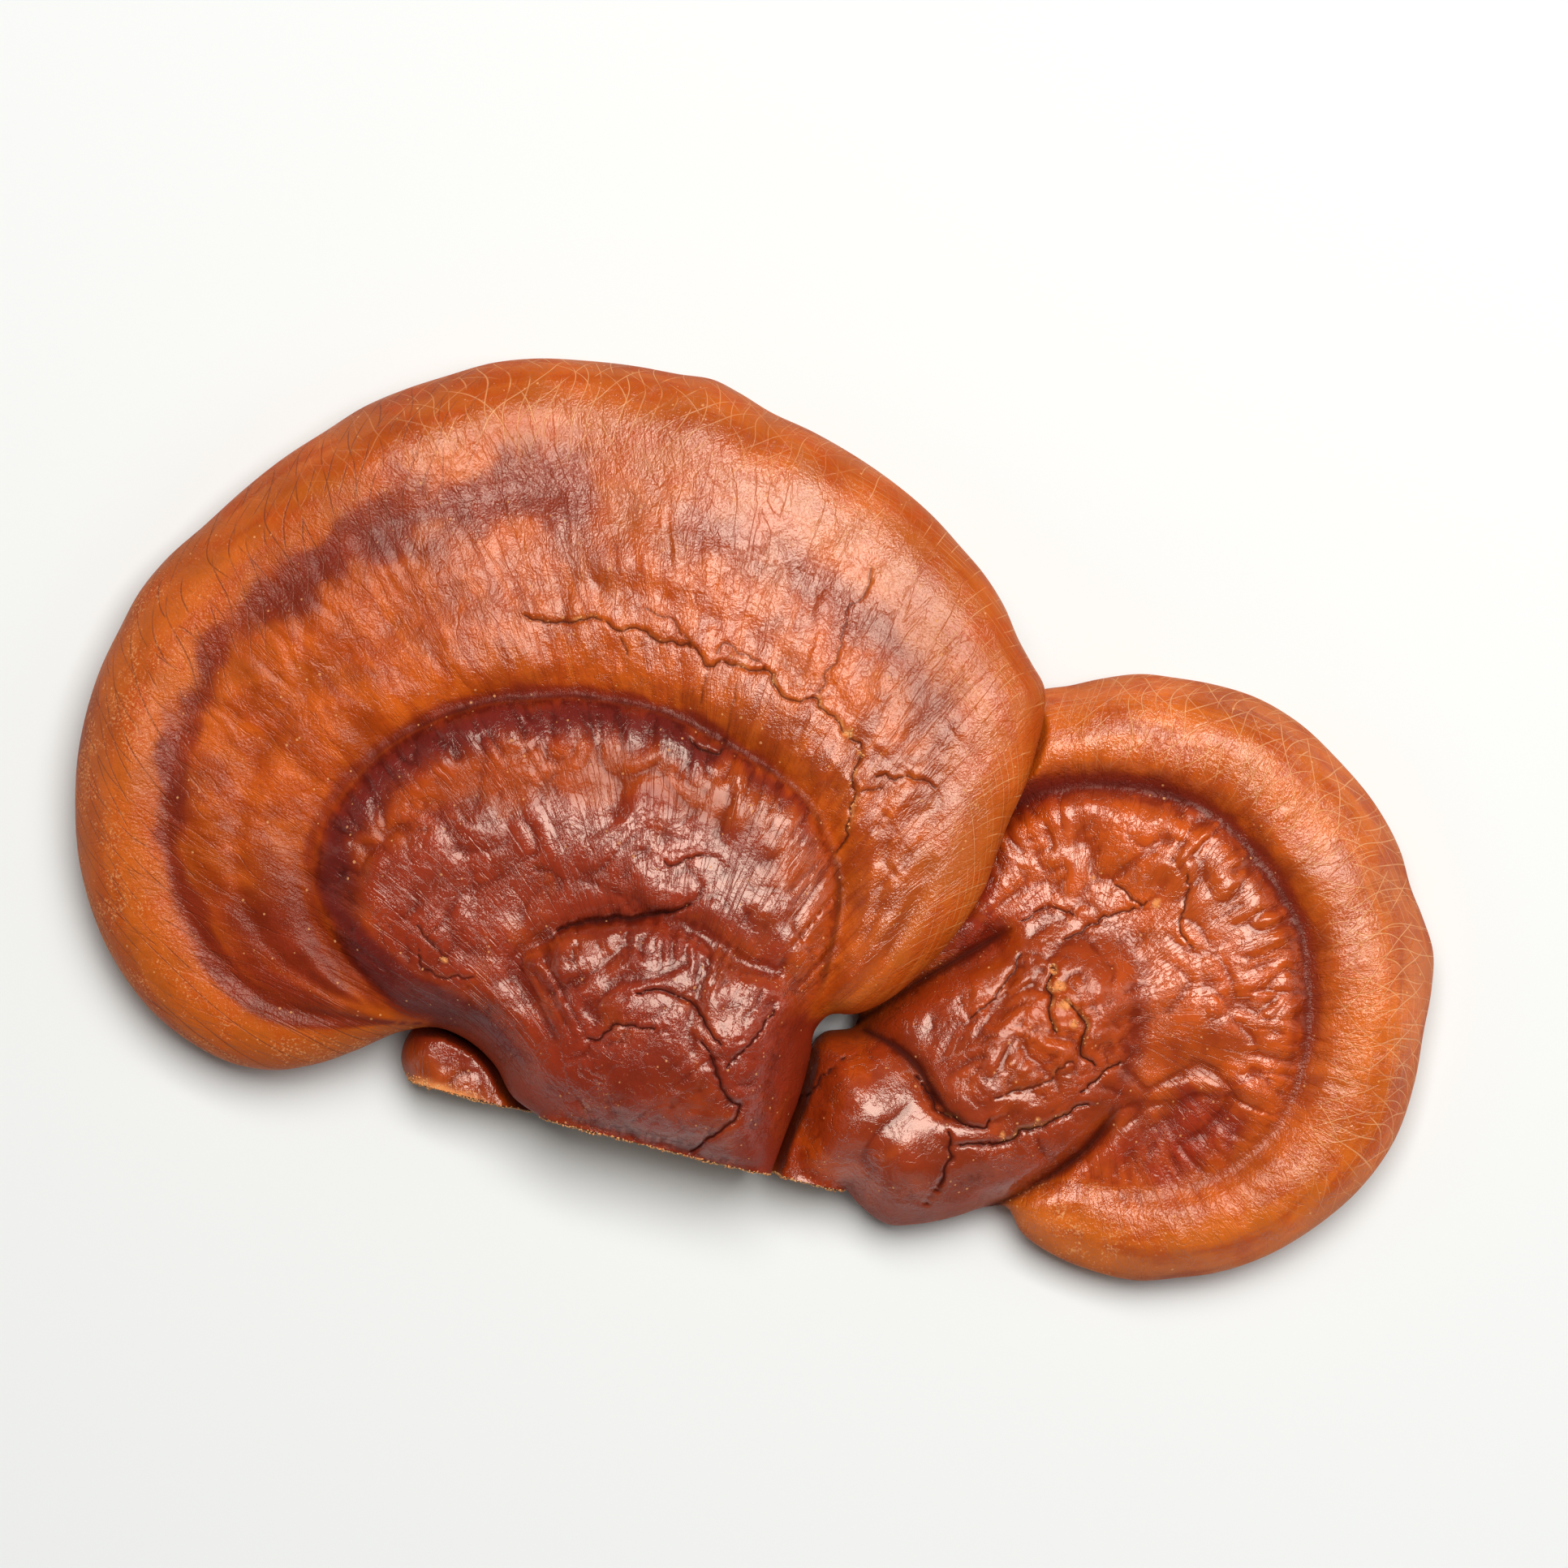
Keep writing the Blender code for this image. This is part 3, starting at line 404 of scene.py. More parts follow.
    crown = spots(xy, LARGE_TOP) + relief
    edge = spots(xy, LARGE_EDGE)
    level = edge + (crown - edge) * roll(depth, RIM_ROLL)
    over = np.clip(level - HIGHEST, 0, None)
    level -= over - 1.1 * (1 - np.exp(-over / 1.1))
    broken = 0.75 + 0.5 * grain(around / 4, 0 * around, 43)
    # The dark line in the groove and the plum halo round it are painted shade.
    groove = broken * crisp * hump(out_of_disc - 0.3, 0.6) * ease(depth, 2, 8) * (1 - base)
    halo = hump(out_of_disc - 0.5, 2.2 + 0.8 * wander) * ease(depth, 2, 8) * ease(20 - x, 0, 30)
    halo *= 0.7 + 0.3 * ease(x, -70, -45)
    lip_width = 2.0 + 2.4 * ease(-x, 3, 14)
    lip = hump(out_of_disc + 0.7 * lip_width + 1.5 * wander, lip_width) * disc * (1 - boss)
    lip *= ease(y - 0.8 * x, -26, -2) * (0.6 + 0.4 * ease(-x, 3, 14))
    old = inner * ease(-past_lip + 4 * grain(x / 9, y / 9, 41), -6, 4)
    outer_zone = inner * ease(past_lip, -3, 3) * ease(-x, -14, 8)
    dull = sum(0.4 * near(xy, place, reach) for *place, reach in DULL_SPOTS) + 0.4 * rusty
    on_bands, on_disc = 0.3 + 0.7 * ease(x + 0.4 * y, -80, 5), 0.5 + 0.5 * ease(x + 0.4 * y, -100, -20)
    shine = ease(depth, 0, 9) * (0.95 - 0.1 * boss) * (1 - 0.7 * base * ease(x, 0, 7))
    shine *= np.where(disc > 0.5, on_disc, on_bands) * (1 - 0.6 * outer_zone) * (1 - dull)
    shine *= 1 - 0.85 * hump(out_of_disc - 0.3, 3.0) * (1 - base)
    dusty_rim = (1 - disc) * ease(grown, 0.5, 0.9) * ease(-x - y, 10, 90)
    dusty_pad = 0.7 * hump(np.hypot(*(xy - DUSTY_PAD).T) + 2 * wander, 9.0)
    return level, {
        "growth": np.column_stack([around, out_of_disc + crown, depth]),
        "disc": disc,
        "boss": boss,
        "plum": np.clip(np.maximum(0.72 * plum, np.maximum(0.75 * halo * (1 - disc), lip)), 0, 1),
        "amber": (1 - disc) * ease(1 - grown + 0.1 * blotch, 0.25, 0.6),
        "maroon": np.clip(np.maximum(old, base), 0, 1),
        "dark": np.clip(np.maximum(dark, 0.55 * groove), 0, 1),
        "bare": np.clip(bare + chips(xy, LARGE_CHIPS), 0, 1),
        "crackle": (1 - disc) * ease(grown, 0.55, 0.8) * ease(x + 0.3 * y, 5, 40),
        "scratch": (1 - disc) * ease(grown, 0.6, 0.85) * hump(x + 30, 42.0) * ease(y, 20, 50),
        "hair": (1 - disc) * ease(grown, 0.35, 0.7) * ease(-x, 30, 75),
        "dusty": np.maximum(dusty_rim, dusty_pad),
        "shine": shine,
        "pores": 0 * disc,
    }


def large_under(xy, grown_by=0.0):
    """The pore side: it rests under the rim and the base, and arches between them."""
    margin = curve_through(LARGE_MARGIN, closed=False)
    depth = abs(from_line(xy, margin))
    if grown_by:
        depth = np.where(inside(xy, margin), depth, -depth) + grown_by
    edge = spots(xy, LARGE_EDGE)
    floor = np.clip(spots(xy, LARGE_FLOOR), 0, None)
    return edge - (edge - floor) * roll(depth, UNDER_ROLL)


# Large cap, its surface. The upper and lower skins are laid out as fine sheets of triangles over the same
# margin, with rows of points along the growth lines and cracks, and are closed at the cut by bare flesh.

# Steps, gaps and depths are in millimetres and turns in degrees. WITHIN is the share of the solids' width
# and length that the skins fill, so that they stay inside them.
TOP_STEP = 0.6
UNDER_STEP = 1.7
MEET_GAP = 0.5
COVER_REACH = 2.0
WITHIN = 0.9997
HOLLOW_DEPTH = 0.1
TOP_TURN = 3.2
UNDER_TURN = 6.0
LAST_TURN = 66
FLESH_STEP = 0.7
CUT_BITE = 0.3
LINE_ROWS = (0, 0.5, -0.5, 1.0, -1.0)
CRACK_ROWS = (0, 0.4, -0.4, 0.85, -0.85, 1.3, -1.3)


def with_cut(margin):
    """The whole outline, anticlockwise, and how many of its points lie on the cut between its ends."""
    line = curve_through(margin, closed=False)
    start, end = line[0], line[-1]
    count = round(np.linalg.norm(end - start) / TOP_STEP)
    along = np.linspace(0, 1, count + 1)[1:-1, None]
    return np.vstack([line, end + (start - end) * along])[::-1], count - 1


def beside(line, offsets, closed=False):
    """Copies of a line, each moved to its left by an offset."""
    along = np.roll(line, -1, axis=0) - np.roll(line, 1, axis=0)
    if not closed:
        along[0], along[-1] = line[1] - line[0], line[-1] - line[-2]
    left = np.stack([-along[:, 1], along[:, 0]], 1) / np.hypot(*along.T)[:, None]
    return [line + offset * left for offset in offsets]


def thinned(rows, spacing):
    """Drops each point that lies too near one kept before it, the earlier rows first."""
    cell = spacing / np.sqrt(2)
    kept = {}
    for x, y in np.vstack(rows):
        column, line = int(x // cell), int(y // cell)
        around = [kept.get((column + i, line + j)) for i in range(-2, 3) for j in range(-2, 3)]
        if all(p is None or (p[0] - x) ** 2 + (p[1] - y) ** 2 > spacing**2 for p in around):
            kept[column, line] = (x, y)
    return np.array(list(kept.values()))


def lattice(outline, spacing):
    """Points in even rows over the box round an outline, each row shifted by half a step."""
    low, high = outline.min(0), outline.max(0)
    rows = np.arange(low[1], high[1], spacing * np.sqrt(3) / 2)
    columns = np.arange(low[0], high[0], spacing)
    shift = spacing / 2 * (np.arange(len(rows)) % 2)
    x = columns[None, :] + shift[:, None]
    return np.column_stack([x.ravel(), np.repeat(rows, len(columns))])


def sheet(outline, cut_points, lines, radius, turn, spacing):
    """Triangles over the outline's inside, closest where the margin rolls over."""
    depths = radius * (1 - np.cos(np.radians(np.arange(turn, LAST_TURN, turn))))
    margin_rows = []
    for depth, row in zip(depths, beside(outline, depths, closed=True)):
        row = row[cut_points + 1 : -1]
        if depth > 0.5 * spacing:
            row = row[:: max(1, round(spacing / TOP_STEP))]
        margin_rows.append(row[abs(from_line(row, outline, closed=True)) > 0.97 * depth])
    fine = [row for row, depth in zip(margin_rows, depths) if depth < 0.5 * spacing]
    coarse = [row for row, depth in zip(margin_rows, depths) if depth >= 0.5 * spacing]
    inner = thinned(coarse + lines + [lattice(outline, spacing)], 0.6 * spacing)
    inner = inner[inside(inner, outline) & (abs(from_line(inner, outline, closed=True)) > 0.45 * spacing)]
    points = np.vstack([outline] + fine + [inner])
    ring = [(k, (k + 1) % len(outline)) for k in range(len(outline))]
    found = delaunay_2d_cdt([Vector(p) for p in points], ring, [], 1, 1e-7)
    points = np.array([tuple(p) for p in found[0]])
    return points, np.array(found[2])


def flesh(chain):
    """The bare face of the cut, as triangles between its upper and lower edges."""
    loop = np.column_stack([np.hypot(*(chain - chain[0]).T[:2]), chain[:, 2]])
    inner = lattice(loop, FLESH_STEP)
    inner = inner[inside(inner, loop) & (abs(from_line(inner, loop, closed=True)) > 0.5 * FLESH_STEP)]
    ring = [(k, (k + 1) % len(loop)) for k in range(len(loop))]
    found = delaunay_2d_cdt([Vector(p) for p in np.vstack([loop, inner])], ring, [], 1, 1e-7)
    return inner, np.array(found[2])


def hollows(points, faces, rounds=12):
    """How far each point lies below the smoothed level around it."""
    start, end = faces.ravel(), np.roll(faces, -1, axis=1).ravel()
    neighbours = np.bincount(start, minlength=len(points))
    smooth = points[:, 2].copy()
    for _ in range(rounds):
        smooth = 0.5 * smooth + 0.5 * np.bincount(start, smooth[end], len(points)) / neighbours
    return smooth - points[:, 2]


def keep_on_points(mesh, key, values):
    """Keeps a number or a vector on each point of a mesh."""
    kind, part = ("FLOAT_VECTOR", "vector") if values.ndim == 2 else ("FLOAT", "value")
    kept = mesh.attributes.new(key, kind, "POINT")
    kept.data.foreach_set(part, values.astype(np.float32).ravel())


def added(name, data=None):
    """A new object in the scene."""
    thing = bpy.data.objects.new(name, data)
    bpy.context.scene.collection.objects.link(thing)
    return thing


def grown_piece(name, margin, top, under, lines):
    """A piece of the cluster as one closed mesh, with what its skin follows kept on its points."""
    outline, cut_points = with_cut(margin)
    count = len(outline)
    upper, upper_faces = sheet(outline, cut_points, lines, RIM_ROLL, TOP_TURN, TOP_STEP)
    lower, lower_faces = sheet(outline, cut_points, [], UNDER_ROLL, UNDER_TURN, UNDER_STEP)
    high, skin = top(upper)
    low = under(lower)
    turned_under = top(lower)[1]
    skin["growth"][:, 1] -= high
    turned_under["growth"][:, 1] -= low
    own = np.ones(len(lower), bool)
    own[cut_points:count] = False
    shared = np.arange(len(lower))
    shared[own] = len(upper) + np.arange(own.sum())
    high[cut_points:count] = (high[cut_points:count] + low[cut_points:count]) / 2
    points = np.vstack([np.column_stack([upper, high]), np.column_stack([lower, low])[own]])

    # Round the cut: its left end, the lower edge to its right end, then the upper edge back
    below, above = shared[:cut_points], np.arange(cut_points)
    loop = np.concatenate([[count - 1], below, [cut_points], above[::-1]])
    chain = points[loop]
    inner, cut_faces = flesh(chain)
    run = chain[len(below) + 1, :2] - chain[0, :2]
    way = run / np.linalg.norm(run)
    bitten = 0.25 * rough(inner[:, 0] / 1.1, inner[:, 1] / 3.5, 61) - CUT_BITE
    flat = chain[0, :2] + inner[:, :1] * way + bitten[:, None] * (-way[1], way[0])
    index = np.concatenate([loop, len(points) + np.arange(len(inner))])
    points = np.vstack([points, np.column_stack([flat, inner[:, 1]])])
    faces = [upper_faces, shared[lower_faces][:, ::-1], index[cut_faces]]

    # The hollow measure drives painted shade in the creases and painted light on the ridges of the skin.
    shown = ease(skin["growth"][:, 2], 3, 8) * (0.4 + 0.6 * skin["disc"])
    hollow = hollows(points, np.vstack(faces))[: len(upper)]
    skin["hollow"] = np.clip(hollow / HOLLOW_DEPTH, -1, 1) * shown
    margin_depth = abs(from_line(points[:, :2], outline[cut_points - 1 :]))
    porous = ease(margin_depth + 0.8 * grain(*(points[:, :2].T / 3), 71), 3.5, 6.0)
    turned_under["pores"] = porous[len(upper) :][: own.sum()]
    for key in ("dark", "bare", "hollow"):
        turned_under[key] = np.zeros(len(lower))

    mesh = bpy.data.meshes.new(name)
    mesh.from_pydata(points, [], np.vstack(faces).tolist())
    finishes = np.repeat([0, 0, 1], [len(f) for f in faces])
    mesh.polygons.foreach_set("material_index", finishes.astype(np.int32))
    mesh.polygons.foreach_set("use_smooth", np.ones(len(finishes), bool))
    for key, values in skin.items():
        turned = turned_under[key] if key == "pores" else turned_under[key][own]
        on_cut = np.zeros((len(inner), *values.shape[1:]))
        keep_on_points(mesh, key, np.concatenate([values, turned, on_cut]))
    return added(name, mesh)


def points_of(mesh):
    """The places of a mesh's points, one row for each."""
    points = np.empty(3 * len(mesh.vertices))
    mesh.vertices.foreach_get("co", points)
    return points.reshape(-1, 3)


def placed(piece, middle):
    """Puts a mesh laid out in millimetres, as grown, on the frame's own origin, in metres."""
    mesh = piece.data
    points = (points_of(mesh) - (*middle, 0)) / 1000 * (WITHIN, WITHIN, 1)
    mesh.vertices.foreach_set("co", points.ravel())
    borders = {}
    for face in mesh.polygons:
        if face.material_index == 1:
            for key in face.edge_keys:
                borders[key] = borders.get(key, 0) + 1
    sharp = np.array([borders.get(edge.key, 0) == 1 for edge in mesh.edges])
    mesh.attributes.new("sharp_edge", "BOOLEAN", "EDGE").data.foreach_set("value", sharp)
    mesh.update()


def crack_rows(cracks):
    """Rows of points along each crack and close beside it."""
    rows = []
    for _, _, _, points in cracks:
        rows += beside(torn_line(points)[::2], CRACK_ROWS)
    return rows


def middle_of(*margins):
    """The middle of the cluster's footprint, where the frame has its origin."""
    outline = np.vstack([curve_through(margin, closed=False) for margin in margins])
    return (outline.min(0) + outline.max(0)) / 2


large_rows = crack_rows(LARGE_CRACKS) + beside(curve_through(LARGE_DISC), LINE_ROWS, closed=True)
large_cap = grown_piece("large_cap_skin", LARGE_MARGIN, large_top, large_under, large_rows)


# Lacquer skin of both caps. The crust is a thin hard varnish over corky flesh: orange where it is young at
# the rim, plum in the growth ring, chestnut to oxblood on the old disc and the pad. The groove's plum is
# painted shade.


def join(tree, node, inputs):
    """Links each input to the socket given for it, or sets it to the value given."""
    for key, value in inputs.items():
        if isinstance(value, bpy.types.NodeSocket):
            tree.links.new(value, node.inputs[key])
        else:
            node.inputs[key].default_value = value


def wire(tree, kind, inputs=None, family="ShaderNode", **settings):
    """Adds a node, sets it up and joins its inputs."""
    node = tree.nodes.new(family + kind)
    for key, value in settings.items():
        setattr(node, key, value)
    join(tree, node, inputs or {})
    return node


def srgb(*painted):
    """A colour given as a painter's 0 to 255 values."""
    shares = [value / 255 for value in painted]
    return (*(s / 12.92 if s < 0.043 else ((s + 0.055) / 1.055) ** 2.4 for s in shares), 1)


class Coat:
    """A shader tree with short ways to read what a skin follows and to lay colours over each other."""

    def __init__(self, name):
        self.material = bpy.data.materials.new(name)
        self.material.use_nodes = True
        self.tree = self.material.node_tree
        self.place = self.add("TexCoord").outputs["Object"]
        self.growth = self.add("Attribute", attribute_name="growth").outputs["Vector"]

    def add(self, kind, inputs=None, **settings):
        return wire(self.tree, kind, inputs, **settings)

    def follow(self, name):
        return self.add("Attribute", attribute_name=name).outputs["Fac"]

    def turned(self, where, **settings):
        return self.add("Mapping", {"Vector": where, **settings}).outputs[0]

    def noise(self, where, scale, detail=3.0, roughness=0.55, warp=0.0):
        inputs = {"Vector": where, "Scale": scale, "Detail": detail, "Roughness": roughness}
        return self.add("TexNoise", inputs | {"Distortion": warp}).outputs["Fac"]

    def waves(self, scale, stretch=None, **settings):
        """Noise in object space, or along and across the growth where a stretch is given."""
        where = self.turned(self.growth, Scale=(*stretch, 0.0)) if stretch else self.place
        return self.noise(where, scale, **settings)

    def cells(self, scale):
        return self.add("TexVoronoi", {"Vector": self.place, "Scale": scale}).outputs["Distance"]

    def strands(self, turn, spacing, width, bending=12.0):
        """Long, fine, wavering lines that cross the growth at an angle and break off here and there."""
        bend = self.add("TexNoise", {"Vector": self.growth, "Scale": 0.035, "Detail": 1.0}).outputs["Color"]
        bent = {0: bend, 1: (bending, bending, 0.0), 2: self.growth}
        bent = self.add("VectorMath", bent, operation="MULTIPLY_ADD").outputs[0]
        turned = self.turned(bent, Rotation=(0, 0, turn))
        across = self.add("SeparateXYZ", {0: turned}).outputs["X"]
        line = self.between(self.math("PINGPONG", across, spacing / 2), width, 0.4 * width)
        kept = self.noise(self.turned(turned, Scale=(0.35, 0.11, 0.0)), 1.0, detail=2.0, roughness=0.5)
        return self.times(line, self.between(kept, 0.4, 0.56))

    def between(self, value, low, high, start=0.0, end=1.0):
        inputs = {"Value": value, "From Min": low, "From Max": high, "To Min": start, "To Max": end}
        return self.add("MapRange", inputs, interpolation_type="SMOOTHSTEP").outputs[0]

    def math(self, operation, first, *others):
        for other in others:
            first = self.add("Math", {0: first, 1: other}, operation=operation).outputs[0]
        return first

    def plus(self, *values):
        return self.math("ADD", *values)

    def times(self, *values):
        return self.math("MULTIPLY", *values)

    def most(self, *values):
        return self.math("MAXIMUM", *values)

    def creases(self, noise):
        """0 along the lines where a noise crosses its middle, and 1 beside them."""
        return self.between(self.math("ABSOLUTE", self.math("SUBTRACT", noise, 0.5), 0.0), 0.0, 0.03)

    def over(self, below, above, share, blend_type="MIX"):
        inputs = {0: share, 6: below, 7: above}
        return self.add("Mix", inputs, data_type="RGBA", blend_type=blend_type).outputs[2]

    def bump(self, height, distance, strength):
        return self.add("Bump", {"Height": height, "Distance": distance, "Strength": strength}).outputs[0]

    def finished(self, sockets):
        """The material, with its shader's own sockets linked or set."""
        join(self.tree, self.tree.nodes["Principled BSDF"], sockets)
        return self.material


RIM_ORANGE = srgb(190, 96, 28)
RIM_DEEP = srgb(172, 74, 10)
AMBER = srgb(162, 64, 3)
AMBER_LIGHT = srgb(188, 88, 16)
RUST = srgb(136, 46, 12)
PLUM = srgb(102, 28, 22)
CHESTNUT = srgb(162, 66, 12)
MAROON = srgb(136, 44, 18)
OXBLOOD = srgb(128, 40, 18)
CRUST_AND_CREASE_SHADE = srgb(52, 14, 10)
PAINTED_HOLLOW_SHADE = srgb(190, 150, 130)
PAINTED_RIDGE_LIGHT = (1.25, 1.3, 1.4, 1)
FLESH = srgb(222, 152, 96)
DUST = srgb(230, 176, 124)
HAIR = srgb(112, 48, 18)
PORE_TAN = srgb(200, 170, 130)
PORE_BROWN = srgb(164, 126, 88)
CRINKLE_HEIGHT = 0.00025


def grown_colours(coat, mottle, streaks, tones):
    """Orange where the crust is young, chestnut to oxblood where it is old, plum in the rings, and plum
    painted shade round the grooves.
    """
    disc_colour, dark_colour, base_colour, rim_colour = tones
    plum = coat.follow("plum")
    zones = coat.waves(1.0, stretch=(0.05, 0.15), detail=4.0, warp=0.5)
    blotches = coat.waves(1.0, stretch=(0.32, 0.08), detail=4.0, warp=0.6)
    patches = coat.waves(75.0, detail=4.0, warp=0.5)
    rim = coat.over(rim_colour, RIM_DEEP, coat.between(coat.plus(mottle, zones), 0.85, 1.2))
    ripe = coat.between(coat.plus(coat.times(mottle, 0.4), blotches), 0.55, 0.9)
    young = coat.over(rim, coat.over(AMBER, AMBER_LIGHT, ripe), coat.follow("amber"))
    aged = coat.plus(coat.follow("maroon"), coat.between(patches, 0.3, 0.7, -0.4, 0.4))
    old = coat.over(disc_colour, dark_colour, coat.between(aged, 0.1, 0.9))
    old = coat.over(old, base_colour, coat.follow("boss"))
    old = coat.over(old, disc_colour, coat.between(patches, 0.5, 0.3, 0.0, 0.45))
    colour = coat.over(young, old, coat.follow("disc"))
    colour = coat.over(colour, RUST, coat.between(plum, 0.05, 0.5))
    return coat.over(colour, PLUM, coat.between(coat.plus(plum, coat.times(streaks, 0.3)), 0.4, 1.15))


def fine_lines(coat):
    """The pale net and scratches of the rims, and the dark hairs at the left."""
    patchy = coat.between(coat.waves(90.0, detail=3.0), 0.35, 0.55)
    net = coat.most(coat.strands(1.5, 1.7, 0.09, 5.0), coat.strands(0.1, 2.3, 0.09, 5.0))
    crossed = coat.most(coat.strands(0.6, 3.1, 0.11), coat.strands(-0.5, 3.9, 0.11))
    crossed = coat.most(crossed, coat.strands(0.05, 1.9, 0.1))
    hairs = coat.most(coat.strands(0.45, 2.3, 0.14, 7.0), coat.strands(0.2, 3.9, 0.13, 7.0))
    net = coat.times(net, coat.follow("crackle"), patchy)
    pale = coat.most(net, coat.times(crossed, coat.follow("scratch")))
    return pale, coat.times(hairs, coat.follow("hair"))


def settled_dust(coat, mottle, speckle):
    """Fine dust where it lies thick, and stray grains all over."""
    dusty = coat.times(coat.follow("dusty"), coat.between(mottle, 0.35, 0.6))
    fine = coat.between(coat.plus(speckle, coat.times(dusty, 0.24)), 0.68, 0.95)
    grains = coat.plus(coat.cells(420.0), coat.times(mottle, 0.3))
    return coat.most(fine, coat.between(grains, 0.24, 0.2, 0.0, 0.8))


def pore_colours(coat, mottle, pitted):
    """Tan, and browner in the growth of some seasons and in each pore."""
    seasons = coat.waves(1.0, stretch=(0.012, 0.22), detail=3.0)
    colour = coat.over(PORE_TAN, PORE_BROWN, coat.between(coat.plus(seasons, mottle), 0.8, 1.3, 0.0, 0.8))
    return coat.over(colour, PORE_BROWN, coat.between(pitted, 0.35, 0.1, 0.0, 0.7))


def lacquer(name, disc_colour, dark_colour, base_colour, rim_colour=RIM_ORANGE):
    """The varnished crust of a piece with its lines, dust and cracks, and its matt pore side."""
    coat = Coat(name)
    slow = coat.waves(45.0, detail=2.0)
    mottle = coat.waves(160.0, detail=5.0, roughness=0.6)
    streaks = coat.waves(1.0, stretch=(0.9, 0.12), detail=4.0, warp=0.4)
    speckle = coat.waves(2000.0, detail=2.0, roughness=0.7)
    pitted = coat.cells(2600.0)
    disc, boss, hollow, pores = (coat.follow(key) for key in ("disc", "boss", "hollow", "pores"))
    dark, bare = coat.follow("dark"), coat.follow("bare")

    colour = grown_colours(coat, mottle, streaks, (disc_colour, dark_colour, base_colour, rim_colour))
    shade = coat.between(coat.plus(slow, mottle), 0.75, 1.25, 0.75, 1.15)
    grey = coat.add("CombineColor", {0: shade, 1: shade, 2: shade}).outputs[0]
    colour = coat.over(colour, grey, 0.8, "MULTIPLY")
    # Painted shade darkens the hollows between folds, and painted light lightens the ridges.
    colour = coat.over(colour, PAINTED_HOLLOW_SHADE, coat.between(hollow, 0.05, 1.1, 0.0, 0.65), "MULTIPLY")
    colour = coat.over(colour, PAINTED_RIDGE_LIGHT, coat.between(hollow, 0.0, -1.0, 0.0, 0.4), "MULTIPLY")
    pale, hairs = fine_lines(coat)
    dust = settled_dust(coat, mottle, speckle)
    # Painted shade darkens the cracks, the grooves and the sharp folds; the bare flesh, pale lines, hairs and
    # dust are the crust's own marks.
    laid_over = (
        (CRUST_AND_CREASE_SHADE, dark), (FLESH, bare), (DUST, coat.times(pale, 0.6)), (HAIR, coat.times(hairs, 0.65)),
        (DUST, coat.times(dust, 0.7)), (pore_colours(coat, mottle, pitted), pores),
    )
    for above, share in laid_over:
        colour = coat.over(colour, above, share)

    crinkle = coat.waves(900.0, detail=3.0, warp=0.3)
    wrinkles = coat.creases(coat.waves(240.0, detail=5.0, roughness=0.6, warp=0.6))
    pulled = coat.creases(coat.waves(1.0, stretch=(0.3, 0.06), detail=4.0, warp=0.5))
    height = coat.plus(
        coat.times(crinkle, coat.between(slow, 0.45, 0.6, 0.4, 0.9)),
        coat.times(wrinkles, coat.between(slow, 0.4, 0.6, 0.1, 0.35), coat.between(disc, 0.0, 1.0, 0.6, 1.0)),
        coat.times(pulled, coat.between(boss, 0.0, 0.5, 0.3, 0.0)),
        coat.times(streaks, coat.between(disc, 0.0, 1.0, 0.3, 0.12)),
        coat.times(speckle, coat.between(disc, 0.0, 1.0, 0.6, 0.2)),
        coat.times(coat.most(pale, hairs), -0.25),
        coat.times(pores, pitted, 1.5),
    )
    bump = coat.bump(height, CRINKLE_HEIGHT, 0.8)
    matt = coat.most(pores, bare, dark, coat.times(dust, 0.8))
    gloss = coat.times(coat.follow("shine"), coat.between(matt, 0.0, 0.8, 1.0, 0.0))
    return coat.finished({
        "Base Color": colour,
        "Roughness": coat.plus(coat.between(mottle, 0.35, 0.65, 0.42, 0.56), coat.times(matt, 0.4)),
        "Normal": bump,
        "Coat Normal": bump,
        "Coat Weight": coat.times(gloss, coat.between(hollow, 0.2, 1.0, 1.0, 0.7)),
        "Coat Roughness": 0.13,
        "Coat IOR": 1.7,
        "Specular IOR Level": 0.12,
    })


FLESH_TAN = srgb(186, 134, 84)
FLESH_BROWN = srgb(146, 94, 52)
FLESH_PALE = srgb(212, 168, 116)
LAYER_GRAIN = (70.0, 70.0, 900.0)
FIBRE_GRAIN = (1500.0, 1500.0, 260.0)
LUMP_GRAIN = (150.0, 150.0, 150.0)
BLADE_SLANT = 0.6


def cut_flesh(name):
    """Corky flesh: faint level layers, short upright fibres and the slanting marks of the blade."""
    coat = Coat(name)
    layers, fibres, lumps = (
        coat.noise(coat.turned(coat.place, Scale=shape), 1.0, detail=4.0, roughness=0.5, warp=0.4)
        for shape in (LAYER_GRAIN, FIBRE_GRAIN, LUMP_GRAIN)
    )
    slant = coat.turned(coat.place, Rotation=(0.0, BLADE_SLANT, 0.0))
    marks = coat.add("TexWave", {"Vector": slant, "Scale": 190.0, "Distortion": 3.0}).outputs["Fac"]
    colour = coat.over(FLESH_TAN, FLESH_BROWN, coat.between(layers, 0.42, 0.72, 0.0, 0.7))
    colour = coat.over(colour, FLESH_BROWN, coat.between(lumps, 0.45, 0.75, 0.0, 0.5))
    colour = coat.over(colour, FLESH_PALE, coat.between(fibres, 0.5, 0.75, 0.0, 0.7))
    colour = coat.over(colour, CRUST_AND_CREASE_SHADE, coat.between(coat.follow("disc"), 0.1, 0.6, 0.0, 0.9))
    bump = coat.bump(coat.plus(fibres, coat.times(marks, 0.3), lumps), 0.0006, 0.8)
    return coat.finished({"Base Color": colour, "Normal": bump, "Roughness": 0.85})


torn_flesh = cut_flesh("torn_flesh")
large_cap.data.materials.append(lacquer("orange_lacquer", CHESTNUT, MAROON, OXBLOOD))
large_cap.data.materials.append(torn_flesh)


# Small cap. The younger bracket is round and lies partly under the big one's right margin. Its own knobbly
# stem bends up from the cut in a puckered arm. Its skin is the same lacquer, redder and more ribbed.

